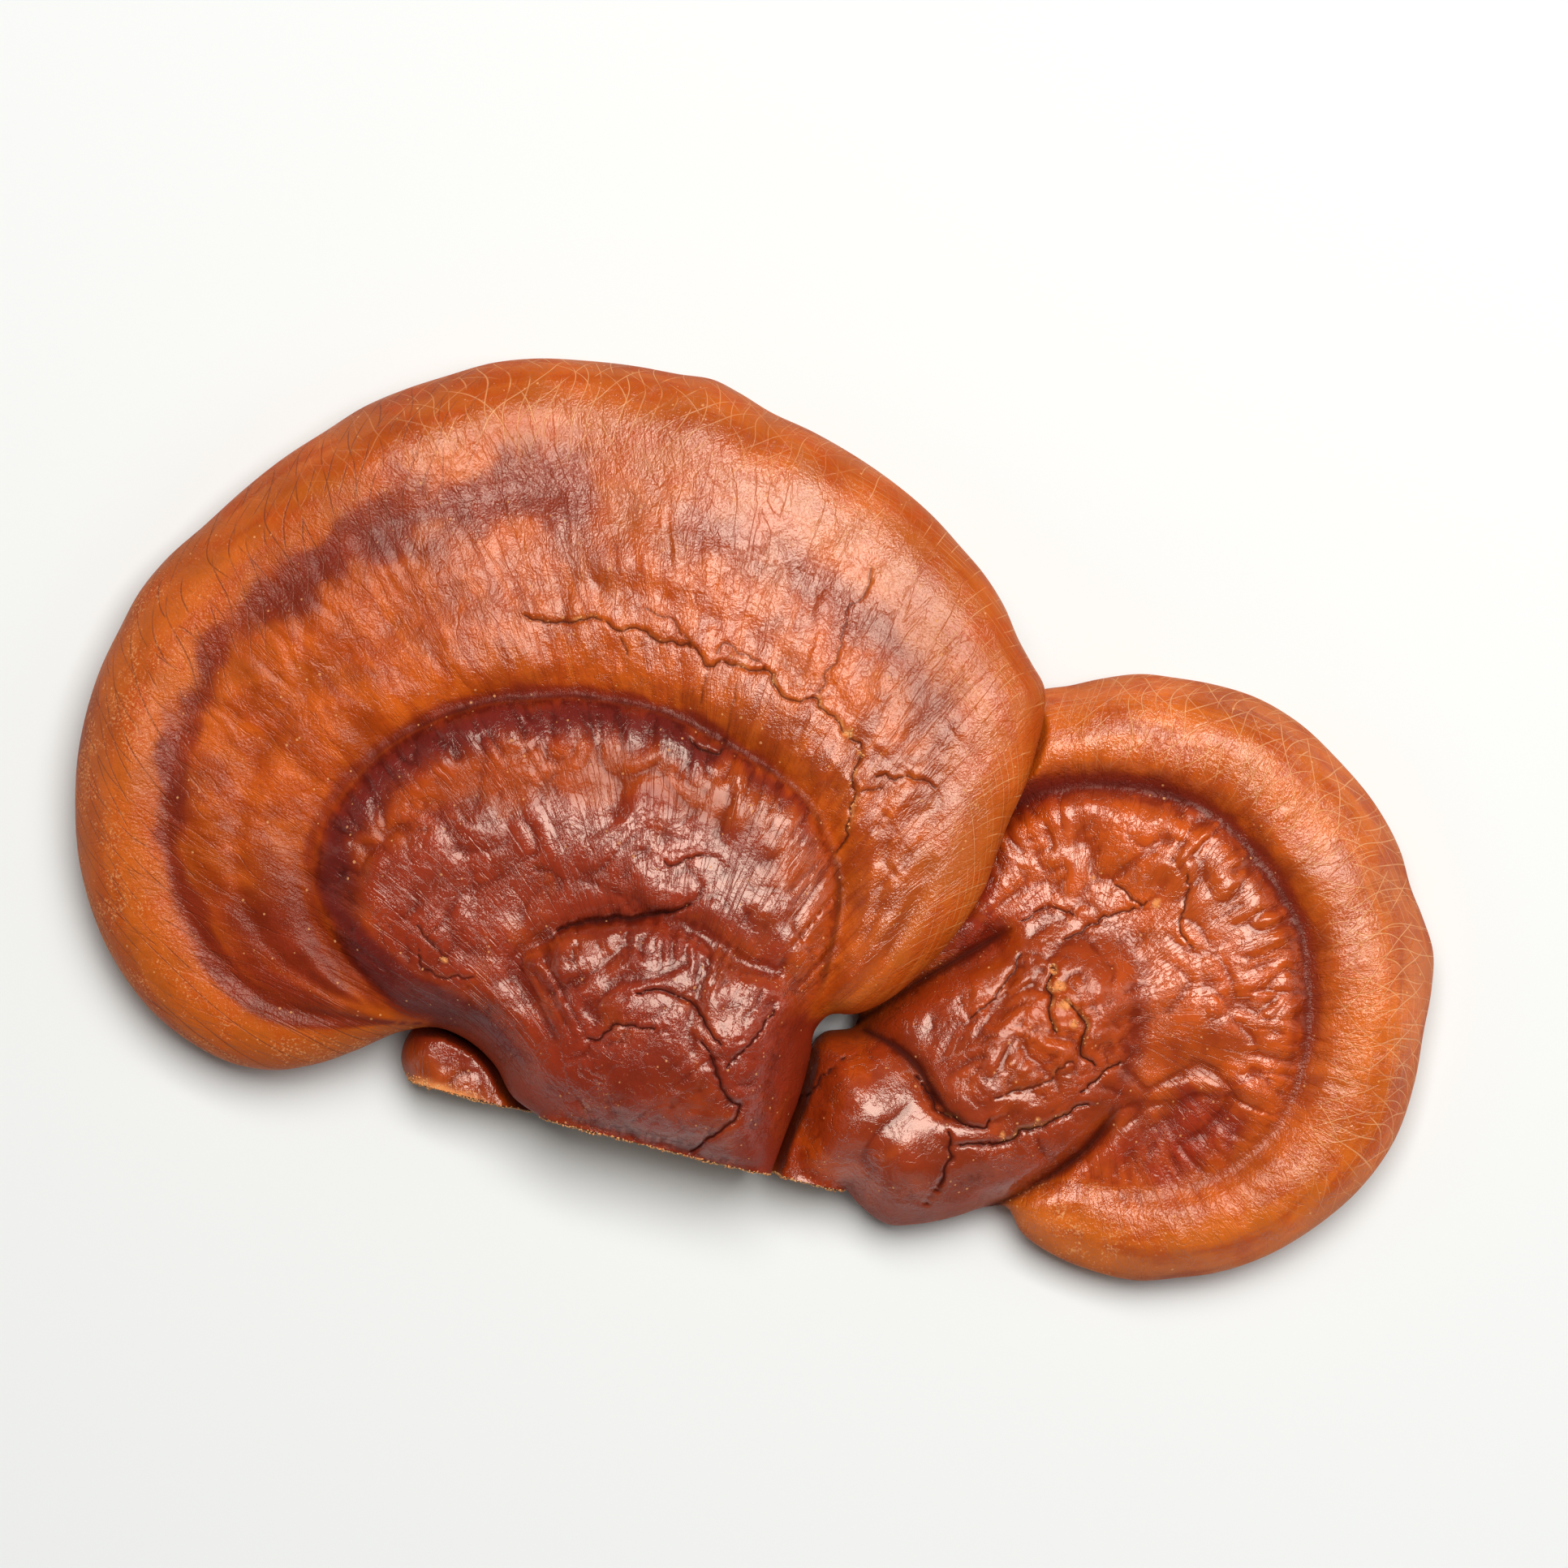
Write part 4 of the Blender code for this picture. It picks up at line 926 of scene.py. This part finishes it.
SMALL_MARGIN = [
    (1.8, cut_line_y(1.8)), (3.8, -58.5), (6.8, -51.5), (9.0, -44.5), (12.6, -39.6), (18.5, -38.3),
    (20.0, -33.5), (23.0, -27.5), (27.5, -22.0), (31.5, -16.0), (34.5, -10.0), (37.5, -3.0),
    (40.5, 5.0), (43.0, 13.0), (46.5, 20.5), (50.0, 23.4), (54.0, 24.3), (58.0, 24.8), (63.5, 26.0),
    (72.0, 27.0), (78.0, 26.3), (84.5, 25.2), (93.0, 22.6), (100.5, 18.2), (108.0, 11.2), (115.2, 2.5),
    (119.7, -6.0), (121.6, -12.7), (123.8, -18.2), (125.7, -24.5), (125.4, -31.5), (124.0, -39.0),
    (122.2, -49.0), (118.5, -59.5), (112.5, -68.0), (104.0, -75.4), (94.5, -81.0), (85.5, -84.0),
    (78.0, -85.0), (71.5, -85.5), (63.0, -83.8), (55.5, -80.8), (49.5, -76.6), (46.2, -71.6),
    (43.0, -71.8), (37.0, -73.6), (30.0, -75.0), (24.5, -75.0), (20.0, -72.0), (17.0, cut_line_y(17.0)),
]
SMALL_DISC = [
    (42.0, -1.5), (48.0, 2.3), (54.0, 5.2), (61.5, 6.3), (70.0, 6.0), (78.0, 3.8), (85.5, 0.0),
    (91.5, -6.0), (96.8, -13.5), (100.5, -21.0), (101.9, -30.0), (101.8, -37.5), (100.4, -46.5),
    (97.4, -54.0), (92.2, -60.0), (85.5, -64.8), (79.0, -67.2), (72.0, -68.0), (65.5, -67.5),
    (59.5, -66.2), (54.0, -66.8), (49.5, -68.5), (45.0, -70.2), (38.0, -71.4),
    (28.0, -72.8), (20.0, -69.5), (9.0, -64.0), (11.5, -52.0), (14.5, -41.5), (21.0, -37.0),
    (25.5, -28.0), (32.0, -18.0), (37.0, -8.0),
]
SMALL_CENTRE = (60.0, -35.0)
AWAY_FROM_STEM = (0.943, 0.332)
STEM_HEAD = (54.0, -37.0)
LOWER_RED = (82.0, -60.0)
RED_PATCHES = [(*LOWER_RED, 14.0), (40.0, -14.0, 12.0)]
DUSTY_LOWER_RIM = (58.0, -76.0)
DISC_RED = srgb(182, 78, 13)
VALLEY_RED = srgb(142, 44, 18)
STEM_RED = srgb(138, 48, 14)
YOUNG_ORANGE = srgb(206, 106, 26)
SMALL_TOP = [
    (55, 17, 16.0), (73, 17, 18.0), (98, 4, 18.5), (113, -25, 18.5), (108, -58, 17.5), (78, -77, 16.0),
    (58, -75, 12.5), (86, -30, 19.0), (68, -2, 18.0), (88, -8, 18.0), (48, -10, 12.5), (36, -14, 14.0),
    (42, 6, 15.0), (26, -26, 13.5), (60, -12, 15.0), (57, -38, 24.5), (44, -44, 23.5), (28, -42, 18.0),
    (19, -52, 21.0), (26, -67, 19.0), (10, -60, 17.0), (46, -60, 21.5), (75, -55, 15.0),
    (90, -50, 17.0), (37, -33, 19.0),
]
KNOBS = [(18.5, -52.5, 9.0, 3.6), (26.5, -63.0, 7.0, 1.4), (42.0, -47.5, 8.0, 1.5), (63.0, -31.0, 7.0, 1.2)]
SMALL_EDGE = [
    (72, 27, 8.5), (125, -25, 8.5), (72, -85, 8.0), (48, -75, 8.0), (25, -74, 10.0), (5, -62, 4.0),
    (6, -52, 4.0), (12, -41, 6.0), (22, -30, 4.5), (36, -8, 5.0), (44, 12, 6.5), (104, 14, 8.5),
    (112, -68, 8.5),
]
SMALL_FLOOR = [
    (72, 14, -1.0), (114, -25, -2.0), (75, -76, -2.0), (104, 4, -1.5), (108, -58, -2.0), (74, -28, 4.5),
    (50, -30, 2.5), (28, -56, -1.5), (45, -55, 0.0), (58, 8, 0.5), (10, -58, -1.0),
]
# How sharp the groove round the disc is, from its top to where it fades out below
GROOVE_SHARPNESS = [
    (60, 6, 1.0), (95, -12, 0.8), (101, -38, 0.6), (95, -57, 0.25), (84, -65, 0.0), (72, -67, 0.0),
    (60, -66, 0.0), (30, -40, 0.3),
]
SMALL_CHIPS = [
    (56.0, -30.5, 0.9), (56.8, -33.8, 1.3), (58.6, -37.5, 0.9), (54.6, -27.8, 0.6), (74.0, -15.5, 0.8),
    (62.5, -10.5, 0.4), (45.5, -57.8, 0.6), (52.0, -55.0, 0.5),
]
VALLEY = [(68, -22), (70.2, -30), (70.5, -36), (69, -43), (67, -51)]
# Folds of the stem: how deep each is, how wide, how sharply creased, and its line
SMALL_FOLDS = [
    (5.0, 3.2, 1.0, [(19, -37.5), (25, -33.5), (31, -29.5), (38, -25.5), (44, -22), (50, -18.5)]),
    (2.2, 2.0, 1.0, [(20.5, -39), (25.5, -41.5), (30, -45.5), (33, -50.5), (36.5, -54.5), (41.5, -55.8)]),
    (1.8, 4.5, 0.0, VALLEY),
    (4.0, 2.0, 1.0, [(43.5, -72), (50, -68.6), (56, -65), (61.5, -60.5), (65.5, -55.5), (67.5, -52)]),
]
SMALL_FLATS = [
    (21.5, -50.0, 7.0, 0.08), (35.5, -57.0, 4.5, -0.12), (67.5, 1.0, 4.5, 0.12), (75.5, -5.5, 5.0, 0.18),
    (61.0, -7.5, 4.5, 0.2), (95.0, -30.0, 4.5, 0.2), (90.0, -46.0, 4.5, 0.22), (75.5, -66.0, 4.5, 0.15),
    (43.0, -35.0, 5.0, 0.12), (52.0, -32.5, 4.0, 0.12),
]
STEM = [
    (2.0, -64.0), (6.0, -52.0), (12.0, -40.0), (20.0, -37.5), (28.0, -31.5), (38.0, -25.5), (46.0, -20.0),
    (56.0, -17.5), (66.0, -19.0), (70.5, -28.0), (71.0, -37.0), (69.0, -46.0), (66.5, -54.0),
    (60.0, -61.5), (52.0, -67.0), (44.0, -71.0), (36.0, -74.5), (26.0, -76.5), (12.0, -70.0),
]
SMALL_CRACKS = [
    (1.4, 0.42, 0.2, [(30, -47), (32, -51), (34, -53.5), (37, -55), (39, -56), (41.5, -56.5), (43.5, -55)]),
    (1.4, 0.4, 0.5, [(38, -59.5), (42, -59.5), (46, -58.8), (50, -57), (54, -55.5), (58, -53.5), (61, -52)]),
    (0.9, 0.35, 0.4, [(60, -50), (62.5, -48), (64.5, -46), (67, -44.3)]),
    (1.5, 0.45, 1.0, [(55, -27), (54, -30), (54.5, -33), (54.2, -36), (55, -38.5)]),
    (1.4, 0.42, 0.9, [(57, -33), (58.5, -34.5), (60, -36), (61, -38), (60.2, -40.5), (60, -43), (62.5, -45)]),
    (1.0, 0.4, 0.0, [(8, -52.5), (10, -50), (12.5, -47.5), (13.5, -46), (15.5, -44.5), (17, -43.5)]),
    (0.5, 0.25, 0.5, [(66, -11.5), (68.5, -13.5), (71, -15.5), (72.5, -15.5)]),
    (0.5, 0.22, 0.4, [(80, -10), (79.7, -14), (79, -17), (78.5, -21), (80, -23)]),
    (0.5, 0.28, 0.0, [(49, -18.5), (52, -17.2), (55, -16.5), (59, -17.0)]),
    (0.5, 0.28, 0.0, [(57, -22), (62, -19.5), (66, -17.5), (70.5, -16.2)]),
    (0.9, 0.4, 0.0, [(35.8, -57.5), (36, -61), (35, -65), (33.5, -68), (31, -71)]),
    (0.5, 0.28, 0.0, [(40, -36), (44, -33), (47, -29), (49, -25)]),
    (0.5, 0.28, 0.3, [(44, -51), (48, -49.5), (52, -49), (56, -46), (58.5, -44)]),
]


def below_large_cap(xy, level):
    """Holds a surface a gap below the big bracket's underside wherever that covers it."""
    margin = curve_through(LARGE_MARGIN, closed=False)
    under_by = abs(from_line(xy, margin, closed=True)) * np.where(inside(xy, margin), 1, -1)
    ceiling = large_under(xy, grown_by=COVER_REACH) - MEET_GAP
    return np.where(under_by > -COVER_REACH, np.minimum(level, ceiling), level)


def small_top(xy):
    """The level of the upper skin, and what its colour and finish follow."""
    depth = abs(from_line(xy, curve_through(SMALL_MARGIN, closed=False)))
    out_of_disc = from_line(xy, curve_through(SMALL_DISC), closed=True)
    out_of_stem = from_line(xy, curve_through(STEM), closed=True)
    east, north = (xy - SMALL_CENTRE).T
    away = AWAY_FROM_STEM[0] * east + AWAY_FROM_STEM[1] * north
    side = AWAY_FROM_STEM[0] * north - AWAY_FROM_STEM[1] * east
    around = -45.0 * np.arctan2(side, away)
    beyond = np.clip(out_of_disc, 0, None)
    grown = beyond / (beyond + depth + 1e-6)
    x, y = xy.T
    sharp = spots(xy, GROOVE_SHARPNESS, reach=12.0)
    arm = ease(-y, 36, 40) * ease(46.5 - x, 0, 2)
    soft = 0.4 + 6.0 * ease(0.35 - sharp, 0, 0.35) * ease(y + 0.6 * x, -25, -12)
    disc = np.maximum(ease(-out_of_disc, -soft, soft), arm)
    merged = ease(x + 0.4 * y, 28, 44)
    stem = ease(-out_of_stem, -1.5 - 6 * merged, 2.5 + 7 * merged)

    relief = 1.0 * ease(-out_of_disc, -1.0, 4.0) * ease(sharp, 0, 0.5)
    groove_depth = 2.1 * hump(out_of_disc, 3.8) * sharp + 1.6 * (1 - sharp) * hump(out_of_disc - 2, 8)
    relief -= groove_depth * ease(depth, 1, 9)
    relief += 1.5 * np.sin(np.pi * grown**0.6) * ease(out_of_disc, 0, 5)
    folded = np.zeros(len(xy))
    for deep, wide, crease, points in SMALL_FOLDS:
        gap = from_line(xy, curve_through(points, closed=False))
        near_end = ease(np.hypot(*(xy - points[-1]).T), 0, 9)
        cut_in = 0.75 * hump(gap, wide) + 0.3 * crease * np.exp(-abs(gap) / (0.3 * wide))
        relief -= deep * near_end * cut_in
        # Each sharp fold gets a dark line of painted shade.
        folded = np.maximum(folded, 0.9 * crease * near_end * hump(gap, 0.8))
    relief += sum(lift * near(xy, place, reach) for *place, reach, lift in KNOBS)
    relief += 0.5 * swells(xy, 15.0) + leaning(xy, SMALL_FLATS)

    flat_disc = ease(-out_of_disc, -1.0, 2.5) * (1 - stem)
    outside = ease(out_of_disc, -1, 4) * (1 - arm)
    wander = rough(around / 5.0, out_of_disc / 9, 107, layers=4)
    right_ribs = flat_disc * hump(out_of_disc + 5, 6.5) * ease(x, 62, 84) * ease(y, -66, -46)
    relief += 1.3 * right_ribs * folds(around / 4.2 + 0.3 * wander, out_of_disc / 15, 111)
    lip_ribs = flat_disc * hump(out_of_disc + 4, 5.0)
    relief += 0.7 * lip_ribs * folds(around / 4.5, out_of_disc / 10, 113)
    relief += 1.3 * flat_disc * ease(-out_of_disc, 2, 9) * puckers(xy, 11.0, 9.0, 117)
    east_of_head, above_head = (xy - STEM_HEAD).T
    head = stem * hump(np.hypot(east_of_head / 17, above_head / 14), 1.0)
    head_core = hump(np.hypot(east_of_head / 11, above_head / 12), 1.0)
    relief += 1.7 * head * puckers(xy, 6.5, 4.0, 119, layers=3)
    relief += 1.1 * stem * (1 - head) * puckers(xy, 13.0, 9.0, 123, layers=1, middle=0.3)
    relief += 0.12 * outside * rough(around / 4, depth / 9, 127) * ease(depth, 0, 4)
    relief += 0.45 * outside * grain(around / 8, depth / 25, 129) * ease(depth, 2, 10)
    relief += 0.25 * outside * folds(around / 6, depth / 9, 133) * ease(depth, 1, 6)
    drop, dark, bare = split(xy, SMALL_CRACKS)
    relief -= drop

    crown = spots(xy, SMALL_TOP, reach=15.0) + relief
    edge = spots(xy, SMALL_EDGE)
    level = below_large_cap(xy, edge + (crown - edge) * roll(depth, RIM_ROLL))
    broken = 0.75 + 0.5 * grain(around / 4, 0 * around, 131)
    # The dark line in the groove and the halo round it are painted shade, and where the big cap overhangs the
    # halo is painted shadow; the inner ring is the disc's own mauve tint.
    groove = broken * sharp * hump(out_of_disc - 0.3, 0.6) * ease(depth, 2, 8) * (1 - arm)
    halo = sharp * hump(out_of_disc - 0.5, 2.2 + 0.8 * wander) * ease(depth, 2, 8)
    shaded = ease(60 - x, 0, 20) * ease(y, -20, -5)
    halo = np.maximum(halo, 0.7 * hump(out_of_disc - 1, 3.0 + wander) * shaded)
    inner_halo = hump(out_of_disc + 1.5, 2.2 + 0.6 * wander) * flat_disc * ease(sharp, 0.1, 0.6)
    halo = np.maximum(halo, 0.5 * inner_halo)
    valley = hump(from_line(xy, curve_through(VALLEY, closed=False)), 3.0)
    deep_red = sum(near(xy, place, reach) for *place, reach in RED_PATCHES)
    shine = ease(depth, 0, 5) * (0.88 + 0.12 * disc) * (1 - 0.5 * head)
    shine *= (1 - 0.9 * sharp * hump(out_of_disc, 2.8)) * (1 - 0.6 * near(xy, LOWER_RED, 14.0))
    dusty = np.maximum(0.5 * ease(-x - y, -40, 20), 1.3 * near(xy, DUSTY_LOWER_RIM, 13.0))
    return level, {
        "growth": np.column_stack([around, out_of_disc + crown, depth]),
        "disc": disc,
        "boss": stem * (1 - 0.6 * head_core),
        "plum": np.clip(np.maximum(0.4 * valley * ease(-y, 22, 34), 0.8 * halo), 0, 1),
        "amber": (1 - disc) * ease(1 - grown, 0.45, 0.9),
        "maroon": np.clip(deep_red, 0, 1),
        "dark": np.clip(np.maximum(np.maximum(dark, folded), 0.55 * groove), 0, 1),
        "bare": np.clip(bare + chips(xy, SMALL_CHIPS), 0, 1),
        "crackle": 0.7 * (1 - disc) * ease(grown, 0.3, 0.6) * ease(y + x, 0, 70),
        "scratch": (1 - disc) * ease(grown, 0.1, 0.4) * ease(x, 50, 70) * ease(y + 0.5 * x, -30, 0),
        "hair": 0 * disc,
        "dusty": (1 - disc) * dusty,
        "shine": shine,
        "pores": 0 * disc,
    }


def small_under(xy):
    """The pore side: it rests under the rim and the stem, and arches between them."""
    depth = abs(from_line(xy, curve_through(SMALL_MARGIN, closed=False)))
    edge = spots(xy, SMALL_EDGE)
    floor = np.clip(spots(xy, SMALL_FLOOR), 0, None)
    return edge - (edge - floor) * roll(depth, UNDER_ROLL)


small_rows = crack_rows(SMALL_CRACKS) + beside(curve_through(SMALL_DISC), LINE_ROWS, closed=True)
for _, _, _, fold in SMALL_FOLDS:
    small_rows += beside(curve_through(fold, closed=False), LINE_ROWS)
small_cap = grown_piece("small_cap_skin", SMALL_MARGIN, small_top, small_under, small_rows)
small_cap.data.materials.append(lacquer("red_lacquer", DISC_RED, VALLEY_RED, STEM_RED, YOUNG_ORANGE))
small_cap.data.materials.append(torn_flesh)


# Side lobe. A young lobe of the same corky flesh under dark lacquer shows below the left of the base. It grew
# from the same spot of the log, and the cut that freed the cluster left its lower edge bare.

LOBE_MARGIN = [
    (-64.5, cut_line_y(-64.5)), (-65.7, -45.0), (-65.2, -41.5), (-62.0, -37.3), (-57.0, -35.6),
    (-51.5, -37.6), (-46.5, -42.2), (-42.8, -48.0), (-39.2, cut_line_y(-39.2)),
]
LOBE_TOP = [(-60, -42, 16.0), (-52, -48, 15.0), (-44, -50, 12.5)]
LOBE_EDGE = 5.0


def lobe_top(xy):
    """The level of the lobe's skin, tucked under the big bracket, and what its colour and finish follow."""
    depth = abs(from_line(xy, curve_through(LOBE_MARGIN, closed=False)))
    x, y = xy.T
    crown = spots(xy, LOBE_TOP) + 0.6 * folds(x / 6, y / 6, 211, middle=0.4) - 0.3 * ease(depth, 4, 7)
    level = below_large_cap(xy, LOBE_EDGE + (crown - LOBE_EDGE) * roll(depth, 7.0))
    above_cut = abs(y - cut_line_y(x)) - 0.4 * rough(x / 2, y / 2, 213)
    plain = ("boss", "plum", "crackle", "scratch", "hair", "dusty", "pores", "amber", "dark")
    return level, dict.fromkeys(plain, np.zeros(len(x))) | {
        "growth": np.column_stack([x, y + crown, depth]),
        "disc": np.ones(len(xy)),
        "shine": 0.8 * ease(depth, 0, 4),
        "maroon": ease(y + 0.5 * x, -78, -70),
        "bare": hump(above_cut, 0.9) * ease(-x, 48, 56),
    }


def lobe_under(xy):
    """The lobe's lower side, rounded up to its edge."""
    depth = abs(from_line(xy, curve_through(LOBE_MARGIN, closed=False)))
    return LOBE_EDGE - LOBE_EDGE * roll(depth, 6.0)


side_lobe = grown_piece("side_lobe_skin", LOBE_MARGIN, lobe_top, lobe_under, [])
side_lobe.data.materials.append(lacquer("dark_lacquer", CHESTNUT, MAROON, OXBLOOD))
side_lobe.data.materials.append(torn_flesh)


# The cluster. Its three pieces grew fused at the base, so nothing on it moves. Each is set on the frame's
# origin in metres, rides on the root and stands for its own solid.

middle = middle_of(LARGE_MARGIN, SMALL_MARGIN, LOBE_MARGIN)
for piece, node in ((large_cap, "large_cap"), (small_cap, "small_cap"), (side_lobe, "side_lobe")):
    placed(piece, middle)
    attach(piece, "root")
    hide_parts(node)


# Crumbs of torn flesh. Where the blade broke the corky flesh, and on the lips of the cracks, pale crumbs
# still cling. One tree of nodes scatters them over the torn places, thickest along the cut's top.

CRUMB_SIZE = 0.00022
LEAST_STRETCH = (0.35, 0.35, 0.35)
MOST_STRETCH = (2.2, 1.1, 1.1)
FULL_TURN = 6.28
CRUMBS_PER_SQUARE_METRE = 4.5e6
TORN_DEPTH = 0.0025
CUT_END = (3.6, -64.6)
LEAST_RAGGED = 0.1


def torn_places():
    """The triangles of all pieces that crumbs cling to, and how thickly they lie on each point."""
    corners, weights = [], []
    for piece in (large_cap, small_cap, side_lobe):
        mesh = piece.data
        points = points_of(mesh)
        faces = np.array([face.vertices[:] for face in mesh.polygons])
        cut = np.array([face.material_index == 1 for face in mesh.polygons])
        bare = np.empty(len(points))
        mesh.attributes["bare"].data.foreach_get("value", bare)
        edge = np.intersect1d(faces[cut], faces[~cut])
        edge = edge[points[edge, 2] > points[edge, 2].mean()]
        edge = edge[np.argsort(points[edge, 0])]
        top = np.interp(points[:, 0], points[edge, 0], points[edge, 2])
        ragged = ease(points[:, 2] - top, -TORN_DEPTH, 0)
        ragged += 5 * near(1000 * points[:, :2] + middle, CUT_END, 1.5)
        for wanted, weight in ((cut, ragged), (~cut, 0.7 * bare)):
            chosen = faces[wanted & (weight[faces].max(1) > LEAST_RAGGED)]
            corners.append(points[chosen].reshape(-1, 3))
            weights.append(weight[chosen].ravel())
    return np.vstack(corners), np.concatenate(weights)


def crumb_tree():
    """Scatters ragged crumbs over a mesh, by its "ragged" attribute."""
    tree = bpy.data.node_groups.new("crumbs_on_torn_flesh", "GeometryNodeTree")
    kinds = {
        "Torn places": "Geometry", "Crumbs per square metre": "Float", "Crumb size": "Float",
        "Finish": "Material",
    }
    sockets = {
        name: tree.interface.new_socket(name, in_out="INPUT", socket_type="NodeSocket" + kind).identifier
        for name, kind in kinds.items()
    }
    tree.interface.new_socket("Crumbs", in_out="OUTPUT", socket_type="NodeSocketGeometry")

    def made(kind, inputs, output=0, family="GeometryNode", **settings):
        return wire(tree, kind, inputs, family, **settings).outputs[output]

    given = wire(tree, "Input", family="NodeGroup").outputs
    ragged = made("InputNamedAttribute", {"Name": "ragged"}, "Attribute", data_type="FLOAT")
    density = {0: ragged, 1: given["Crumbs per square metre"]}
    density = made("Math", density, family="ShaderNode", operation="MULTIPLY")
    points = made("DistributePointsOnFaces", {"Mesh": given["Torn places"], "Density": density, "Seed": 7})
    crumb = made("MeshIcoSphere", {"Radius": given["Crumb size"], "Subdivisions": 1})
    turn = {"Min": (0, 0, 0), "Max": (FULL_TURN, FULL_TURN, FULL_TURN), "Seed": 3}
    turn = made("RandomValue", turn, "Value", "FunctionNode", data_type="FLOAT_VECTOR")
    turn = made("EulerToRotation", {0: turn}, family="FunctionNode")
    scale = {"Min": LEAST_STRETCH, "Max": MOST_STRETCH, "Seed": 5}
    scale = made("RandomValue", scale, "Value", "FunctionNode", data_type="FLOAT_VECTOR")
    crumbs = {"Points": points, "Instance": crumb, "Rotation": turn, "Scale": scale}
    crumbs = made("RealizeInstances", {"Geometry": made("InstanceOnPoints", crumbs)})
    dent = made("TexNoise", {"Scale": 4000.0, "Detail": 1.0}, "Color", "ShaderNode")
    dent = made("VectorMath", {0: dent, 1: (0.5, 0.5, 0.5)}, family="ShaderNode", operation="SUBTRACT")
    dent = made("VectorMath", {0: dent, "Scale": given["Crumb size"]}, family="ShaderNode", operation="SCALE")
    crumbs = made("SetPosition", {"Geometry": crumbs, "Offset": dent})
    crumbs = made("SetMaterial", {"Geometry": crumbs, "Material": given["Finish"]})
    wire(tree, "Output", {"Crumbs": crumbs}, family="NodeGroup")
    return tree, sockets


def crumb_coat():
    """Pale corky flesh, lighter on some crumbs than on others."""
    coat = Coat("pale_crumbs")
    tone = coat.between(coat.waves(900.0, detail=2.0), 0.4, 0.6)
    bump = coat.bump(coat.waves(6000.0), 0.0001, 0.6)
    return coat.finished({"Base Color": coat.over(FLESH_PALE, FLESH, tone), "Normal": bump, "Roughness": 0.8})


torn_corners, raggedness = torn_places()
torn_crumbs = added("torn_crumbs", bpy.data.meshes.new("torn_crumbs"))
torn_faces = np.arange(len(torn_corners)).reshape(-1, 3)
torn_crumbs.data.from_pydata(torn_corners, [], torn_faces.tolist())
keep_on_points(torn_crumbs.data, "ragged", raggedness)
scattering, sockets = crumb_tree()
scatter = torn_crumbs.modifiers.new("crumbs", "NODES")
scatter.node_group = scattering
scatter[sockets["Crumbs per square metre"]] = CRUMBS_PER_SQUARE_METRE
scatter[sockets["Crumb size"]] = CRUMB_SIZE
scatter[sockets["Finish"]] = crumb_coat()
evaluated = torn_crumbs.evaluated_get(bpy.context.evaluated_depsgraph_get())
scattered = bpy.data.meshes.new_from_object(evaluated)
torn_crumbs.modifiers.remove(scatter)
torn_crumbs.data = scattered
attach(torn_crumbs, "root")


# Floor, lights and camera. A pale table under a broad soft light from beyond the caps' upper rims, and a
# camera straight above, as the picture looks square on to the lacquered side.

PICTURE_WIDTH = 0.2898
PICTURE_CENTRE = (0.0054, 0.0066)
CAMERA_HEIGHT = 1.3
MEAN_LEVEL = 0.012

TABLE_REACH = 3.0
TABLE_WHITE = (0.73, 0.87, 0.999, 1)
WARM_LIGHT = (1.0, 0.85, 0.72)
WARM_ROOM = (1.0, 0.88, 0.78, 1)
ROOM_LIGHT = 0.1
LIT_SPOT = (0.0, 0.0, 0.02)
SOFTBOXES = [
    ("key_softbox", (0.22, 0.45, 1.37), (1.2, 0.85), 29.0),
    ("left_softbox", (-1.3, 0.2, 0.35), (0.5, 1.4), 1.5),
    ("right_softbox", (1.3, 0.1, 0.45), (0.5, 1.4), 3.0),
    ("near_softbox", (0.0, -1.3, 0.4), (1.4, 0.5), 1.0),
]
SENSOR_WIDTH = 36.0

floor = added("table", bpy.data.meshes.new("table"))
corners = [(TABLE_REACH * x, TABLE_REACH * y, 0) for x, y in ((-1, -1), (1, -1), (1, 1), (-1, 1))]
floor.data.from_pydata(corners, [], [(0, 1, 2, 3)])
floor.data.materials.append(Coat("white_table").finished({"Base Color": TABLE_WHITE, "Roughness": 0.8}))

for name, place, size, power in SOFTBOXES:
    light = bpy.data.lights.new(name, "AREA")
    light.shape = "RECTANGLE"
    light.size, light.size_y = size
    light.energy = power
    light.color = WARM_LIGHT
    lamp = added(name, light)
    lamp.location = place
    lamp.rotation_euler = (Vector(LIT_SPOT) - Vector(place)).to_track_quat("-Z", "Y").to_euler()

room = bpy.data.worlds.new("studio")
room.use_nodes = True
join(room.node_tree, room.node_tree.nodes["Background"], {"Color": WARM_ROOM, "Strength": ROOM_LIGHT})
bpy.context.scene.world = room
bpy.context.scene.view_settings.view_transform = "Standard"

lens = bpy.data.cameras.new("camera")
lens.sensor_width = SENSOR_WIDTH
lens.lens = SENSOR_WIDTH * (CAMERA_HEIGHT - MEAN_LEVEL) / PICTURE_WIDTH
camera = added("camera", lens)
camera.location = (*(np.array(PICTURE_CENTRE) - middle / 1000), CAMERA_HEIGHT)
bpy.context.scene.camera = camera
